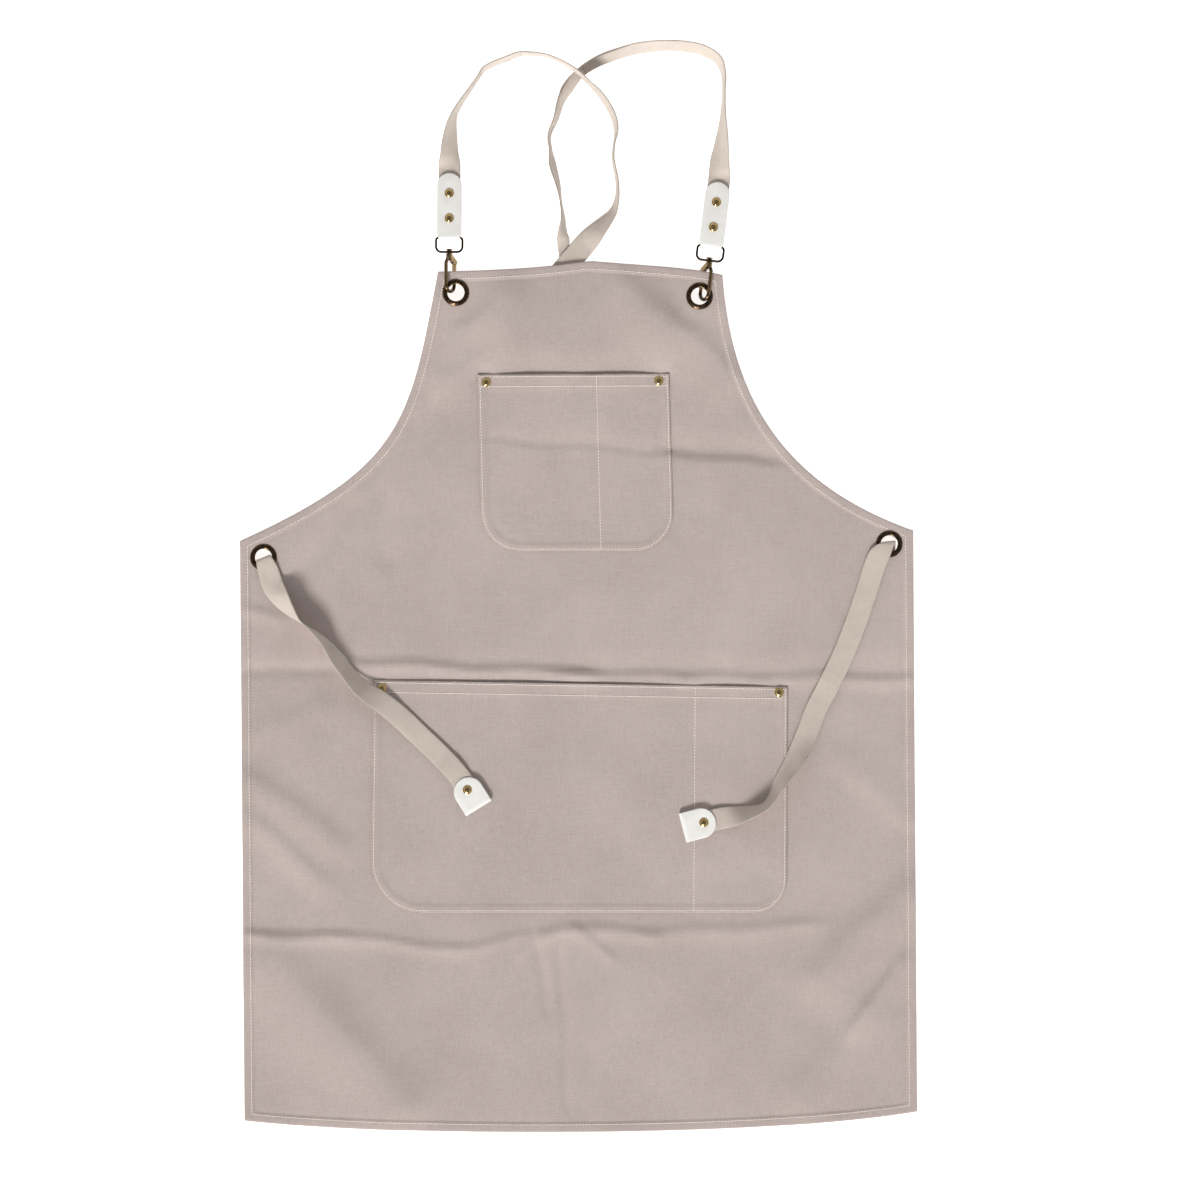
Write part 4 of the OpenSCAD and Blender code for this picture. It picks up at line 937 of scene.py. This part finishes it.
def strap(side, loop_rows, back_rows, tie_rows):
    """One whole strap, from its tab to its tip, in the order it is laid; returns the height of the tip."""
    frame_here = tab_frame(side)
    inside = placed([(0, yy, 0) for yy in (16.0, 30.0, 45.0, 60.0)], frame_here)
    path = tape_path([(px, py, pz - LEATHER_T / 2, 0) for px, py, pz in inside] + loop_rows[1:])
    cut = path["s"][np.argmin(np.hypot(*(path["mid"][:, :2] - CUT_AT[side]).T))]
    near_path, far_path = part_of(path, 0, cut), part_of(path, cut, path["s"][-1])
    near = tape_mesh(f"strap_{side}_near_tab", near_path, 0.25)
    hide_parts(f"strap_{side}_end", f"strap_{side}_loop")
    far = tape_mesh(f"strap_{side}_over", far_path, 0.25)
    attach(far, "root")
    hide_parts(f"strap_{side}_loop")
    back_path = tape_path(back_rows)
    back = tape_mesh(f"strap_{side}_under", back_path)
    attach(back, "root")
    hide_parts(f"strap_{side}_back")
    tie_path = tape_path(tie_rows, on_cloth=True)
    end = tie_path["mid"][-1]
    away = np.linalg.norm(tie_path["mid"][:, :2] - end[:2], axis=1)
    under = [surface(np.array([px]), np.array([py]))[0] for px in np.linspace(end[0] - 14, end[0] + 14, 7)
             for py in np.linspace(end[1] - 6, end[1] + 22, 7)]
    level = max(under) + 2.6
    w = ease((away - 26) / 22)
    tie_path["mid"][:, 2] = level * (1 - w) + tie_path["mid"][:, 2] * w
    tie = tape_mesh(f"strap_{side}_tied", tie_path, 0.15)
    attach(tie, "root")
    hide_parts(f"strap_{side}_tie")
    for piece, way, on in ((near, near_path, "floor"), (far, far_path, "floor"), (back, back_path, "floor"),
                           (tie, tie_path, "panel_cloth")):
        round(length_of(way) * MM, 3)
    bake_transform(near)
    return level


CUT_AT = {"left": (-58, 531.5), "right": (5, 516)}    # where the two visible pieces of a loop meet
TIP_LEVEL = {"left": strap("left", LEFT_LOOP, LEFT_BACK, LEFT_TIE),
             "right": strap("right", RIGHT_LOOP, RIGHT_BACK, RIGHT_TIE)}


# ---------------------------------------------------------------- leather tabs and tips
def folded_leather(name, width, fold_width, length, inner, rivets, matrix, body, seed):
    """A strip folded round a gap, with round ends and rolled edges."""
    r = inner / 2 + LEATHER_T / 2
    arc = math.pi * r / 2
    half = length + arc - width / 2
    a = np.linspace(0, math.pi, 17)
    end = np.c_[width / 2 * np.cos(a), half + width / 2 * np.sin(a)]
    loop = np.vstack([end, -end])
    xy, tris, edge = shape_points(loop, (0, 0.25, 0.6, 1.1, 1.8, 3.0), 1.5, 1.8)
    x, s = xy[:, 0], xy[:, 1]
    d = edge_distance(x, s, edge)
    side = np.sign(s)
    side[side == 0] = 1
    q = np.abs(s)
    bend = q < arc
    y = np.where(bend, -r * np.cos(q / r), q - arc)
    z = side * np.where(bend, r * np.sin(q / r), r)
    ny = np.where(bend, -np.cos(q / r), 0)
    nz = side * np.where(bend, np.sin(q / r), 1)
    puff = 0.30 * ease(d / 6) + 0.25 * noise_at(x, s, 12.0, seed) * ease(d / 3)
    for yy in rivets:
        puff -= 0.45 * np.exp(-(np.hypot(x, y - yy) / 6.5) ** 2)
    puff *= ~bend
    x = x * (fold_width / width + (1 - fold_width / width) * ease((q - arc) / 2.5))
    fat = LEATHER_T / 2 * np.sqrt(np.clip(1 - (1 - np.clip(d / 0.7, 0, 1)) ** 2, 0.04, 1))
    outer = fat + puff
    top = np.c_[x, y + ny * outer, z + nz * outer]
    bottom = np.c_[x, y - ny * fat, z - nz * fat]
    obj = closed_sheet(name, placed(top, matrix), placed(bottom, matrix), tris, LEATHER)
    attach(obj, body)
    return obj, (width * MM, round(2 * (half + width / 2) * MM, 4))


def lathe(name, profile, places, material, body, steps=72):
    """Round pieces from a closed profile of (radius, height), at each of the given frames."""
    verts, faces = [], []
    for matrix in places:
        first, rings = len(verts), []
        local = []
        for r, z in profile:
            if r < 1e-6:
                rings.append((len(local), 1))
                local.append((0, 0, z))
            else:
                rings.append((len(local), steps))
                local += [(r * math.cos(2 * math.pi * k / steps), r * math.sin(2 * math.pi * k / steps), z)
                          for k in range(steps)]
        verts.extend(placed(local, matrix))
        for (a, na), (b, nb) in zip(rings, rings[1:] + rings[:1]):
            if na == 1 and nb == 1:
                continue
            for k in range(steps):
                q = (k + 1) % steps
                face = [first + a + (k if na > 1 else 0)]
                face += [first + a + q] if na > 1 else []
                face += [first + b + q] if nb > 1 else []
                face += [first + b + (k if nb > 1 else 0)]
                faces.append(face)
    obj = new_mesh(name, verts, faces, material)
    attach(obj, body)
    return obj


def arc_points(r0, z0, r1, z1, bulge, n=6):
    """Points from one place to another along a curve that bulges to its left."""
    a, b = np.array([r0, z0]), np.array([r1, z1])
    d = b - a
    normal = np.array([-d[1], d[0]])
    return [tuple(a + d * t + normal * bulge * 4 * t * (1 - t)) for t in np.linspace(0, 1, n + 1)]


RIVET_R = 4.75
CAP = ([(0, -0.5), (RIVET_R - 0.5, -0.5), (RIVET_R, -0.1), (RIVET_R, 0.3)]
       + arc_points(RIVET_R, 0.3, RIVET_R - 0.9, 0.85, -0.18)
       + arc_points(RIVET_R - 0.9, 0.85, 0, 1.6, -0.16)[1:])


def cap_places(frame_here, spots):
    return [frame_here @ Matrix.Translation(p) for p in spots]


TAB_TOP, TAB_FOLD_W = FOLD_IN / 2 + LEATHER_T, 21.4    # upper face of a tab, and its width at the fold
for side in ("left", "right"):
    body = f"tab_{side}"
    tab, size = folded_leather(f"tab_{side}_leather", TAB_W, TAB_FOLD_W, TAB_L, FOLD_IN, TAB_RIVET_YS,
                               tab_frame(side), body, {"left": 2.0, "right": 12.0}[side])
    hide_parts(f"tab_{side}")
    caps = lathe(f"tab_{side}_caps", CAP, cap_places(tab_frame(side), [(0, yy, TAB_TOP) for yy in TAB_RIVET_YS]),
                 RIVET, body)
    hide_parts(f"tab_rivets_{side}")

TIPS = {"left": (-100.5, -219.8, 32), "right": (106, -240.8, -75)}
TIP_W, TIP_L, TIP_RIVET_Y, TIP_IN = 30, 32, 19.8, 1.7
TIP_TOP = TIP_IN / 2 + LEATHER_T
for side, (tx, ty, turn) in TIPS.items():
    here = Matrix.Translation((tx, ty, TIP_LEVEL[side])) @ Matrix.Rotation(math.radians(turn), 4, "Z")
    tip, size = folded_leather(f"tip_{side}_leather", TIP_W, TIP_W, TIP_L, TIP_IN, (TIP_RIVET_Y,), here, "root",
                               {"left": 5.0, "right": 8.0}[side])
    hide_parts(f"tip_{side}")
    cap = lathe(f"tip_{side}_cap", CAP, cap_places(here, [(0, TIP_RIVET_Y, TIP_TOP)]),
                RIVET, "root")
    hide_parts(f"tip_rivet_{side}")

for pocket in (BIB_POCKET, HAND_POCKET):
    spots = [Matrix.Translation((px, py, float(pocket.top(np.array([px]), np.array([py]))[0]) + 0.3))
             for px, py in RIVETS[pocket.name]]
    caps = lathe(f"{pocket.name}_caps", CAP, spots, RIVET, "root")
    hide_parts(f"{pocket.name}_rivets")

# ---------------------------------------------------------------- grommets
EYE, OUT = 8.5, 13.5
RING = ([(EYE, -1.6), (EYE, 0.6)] + arc_points(EYE, 0.6, EYE + 1.3, 1.75, 0.16)
        + arc_points(EYE + 1.3, 1.75, OUT - 1.6, 1.3, 0.10)[1:] + arc_points(OUT - 1.6, 1.3, OUT, 0.1, 0.14)[1:]
        + [(OUT - 0.3, -0.15), (EYE + 0.7, -0.15), (EYE + 0.7, -1.6)])
for place, (hx, hy) in HOLES.items():
    z = float(base_top(np.array([hx]), np.array([hy]))[0])
    ring = lathe(f"ring_{place}", RING[::-1], [Matrix.Translation((hx, hy, z))],
                 ANTIQUE, "root", 96)
    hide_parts(f"grommet_{place}")


# ---------------------------------------------------------------- swivel loops
def swept(line, radius, matrix, sides=16):
    """Points and faces of a round wire along a closed line."""
    n = len(line)
    ahead = np.roll(line, -1, axis=0) - np.roll(line, 1, axis=0)
    ahead /= np.linalg.norm(ahead, axis=1)[:, None]
    flat = np.cross(ahead, (0, 0, 1.0))
    flat /= np.linalg.norm(flat, axis=1)[:, None]
    up = np.cross(flat, ahead)
    turns = [2 * math.pi * k / sides for k in range(sides)]
    verts = [line[i] + radius * (flat[i] * math.cos(a) + up[i] * math.sin(a)) for i in range(n) for a in turns]
    faces = []
    for i in range(n):
        j = (i + 1) % n
        for k in range(sides):
            q = (k + 1) % sides
            faces.append((i * sides + k, i * sides + q, j * sides + q, j * sides + k))
    return placed(verts, matrix), faces


def loop_line():
    """Outline of the swivel loop's wire: round corners below, tighter ones above."""
    half, low_r, top_r = LOOP_IN_W / 2 + LOOP_WIRE / 2, 5.5, 3.0
    low, high = LOOP_WIRE / 2 + 0.3, LOOP_TOP + LOOP_WIRE / 2 + 0.3
    pts = []
    for cx, cy, r, a0 in ((half - low_r, low + low_r, low_r, -90), (half - top_r, high - top_r, top_r, 0),
                          (-half + top_r, high - top_r, top_r, 90), (-half + low_r, low + low_r, low_r, 180)):
        pts += [(cx + r * math.cos(math.radians(a0 + k)), cy + r * math.sin(math.radians(a0 + k)))
                for k in range(0, 91, 9)]
    line = resample(np.array(pts), 0.9, keep=9)
    return np.c_[line, np.zeros(len(line))]


EYE_BARREL = [(2.1, 0.3), (2.5, 0.35), (2.8, 0.8), (2.85, 1.5), (2.8, 2.3), (2.5, 2.85), (2.1, 2.9)]
for side in ("left", "right"):
    body = f"tab_{side}"
    ring = new_mesh(f"loop_{side}_wire", *swept(loop_line(), LOOP_WIRE / 2, clasp_frame(side)), ANTIQUE)
    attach(ring, body)
    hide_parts(f"loop_{side}")
    turned = clasp_frame(side) @ Matrix.Rotation(math.radians(-90), 4, "X")
    eye = lathe(f"loop_{side}_eye", EYE_BARREL[::-1], [turned], ANTIQUE, body, 48)
    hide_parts(f"loop_{side}")

# ---------------------------------------------------------------- CAD pieces that stay, and their finishes
FINISH = {"hook": ANTIQUE, "gate": ANTIQUE, "washer": ANTIQUE, "gate_pin": STEEL, "gate_spring": STEEL,
          "rivet_back": RIVET}
for name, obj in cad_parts.items():
    if obj.hide_render:
        continue
    found = [v for k, v in sorted(FINISH.items(), key=lambda kv: len(kv[0])) if k in name]
    if found:
        obj.data.materials.clear()
        obj.data.materials.append(found[-1])
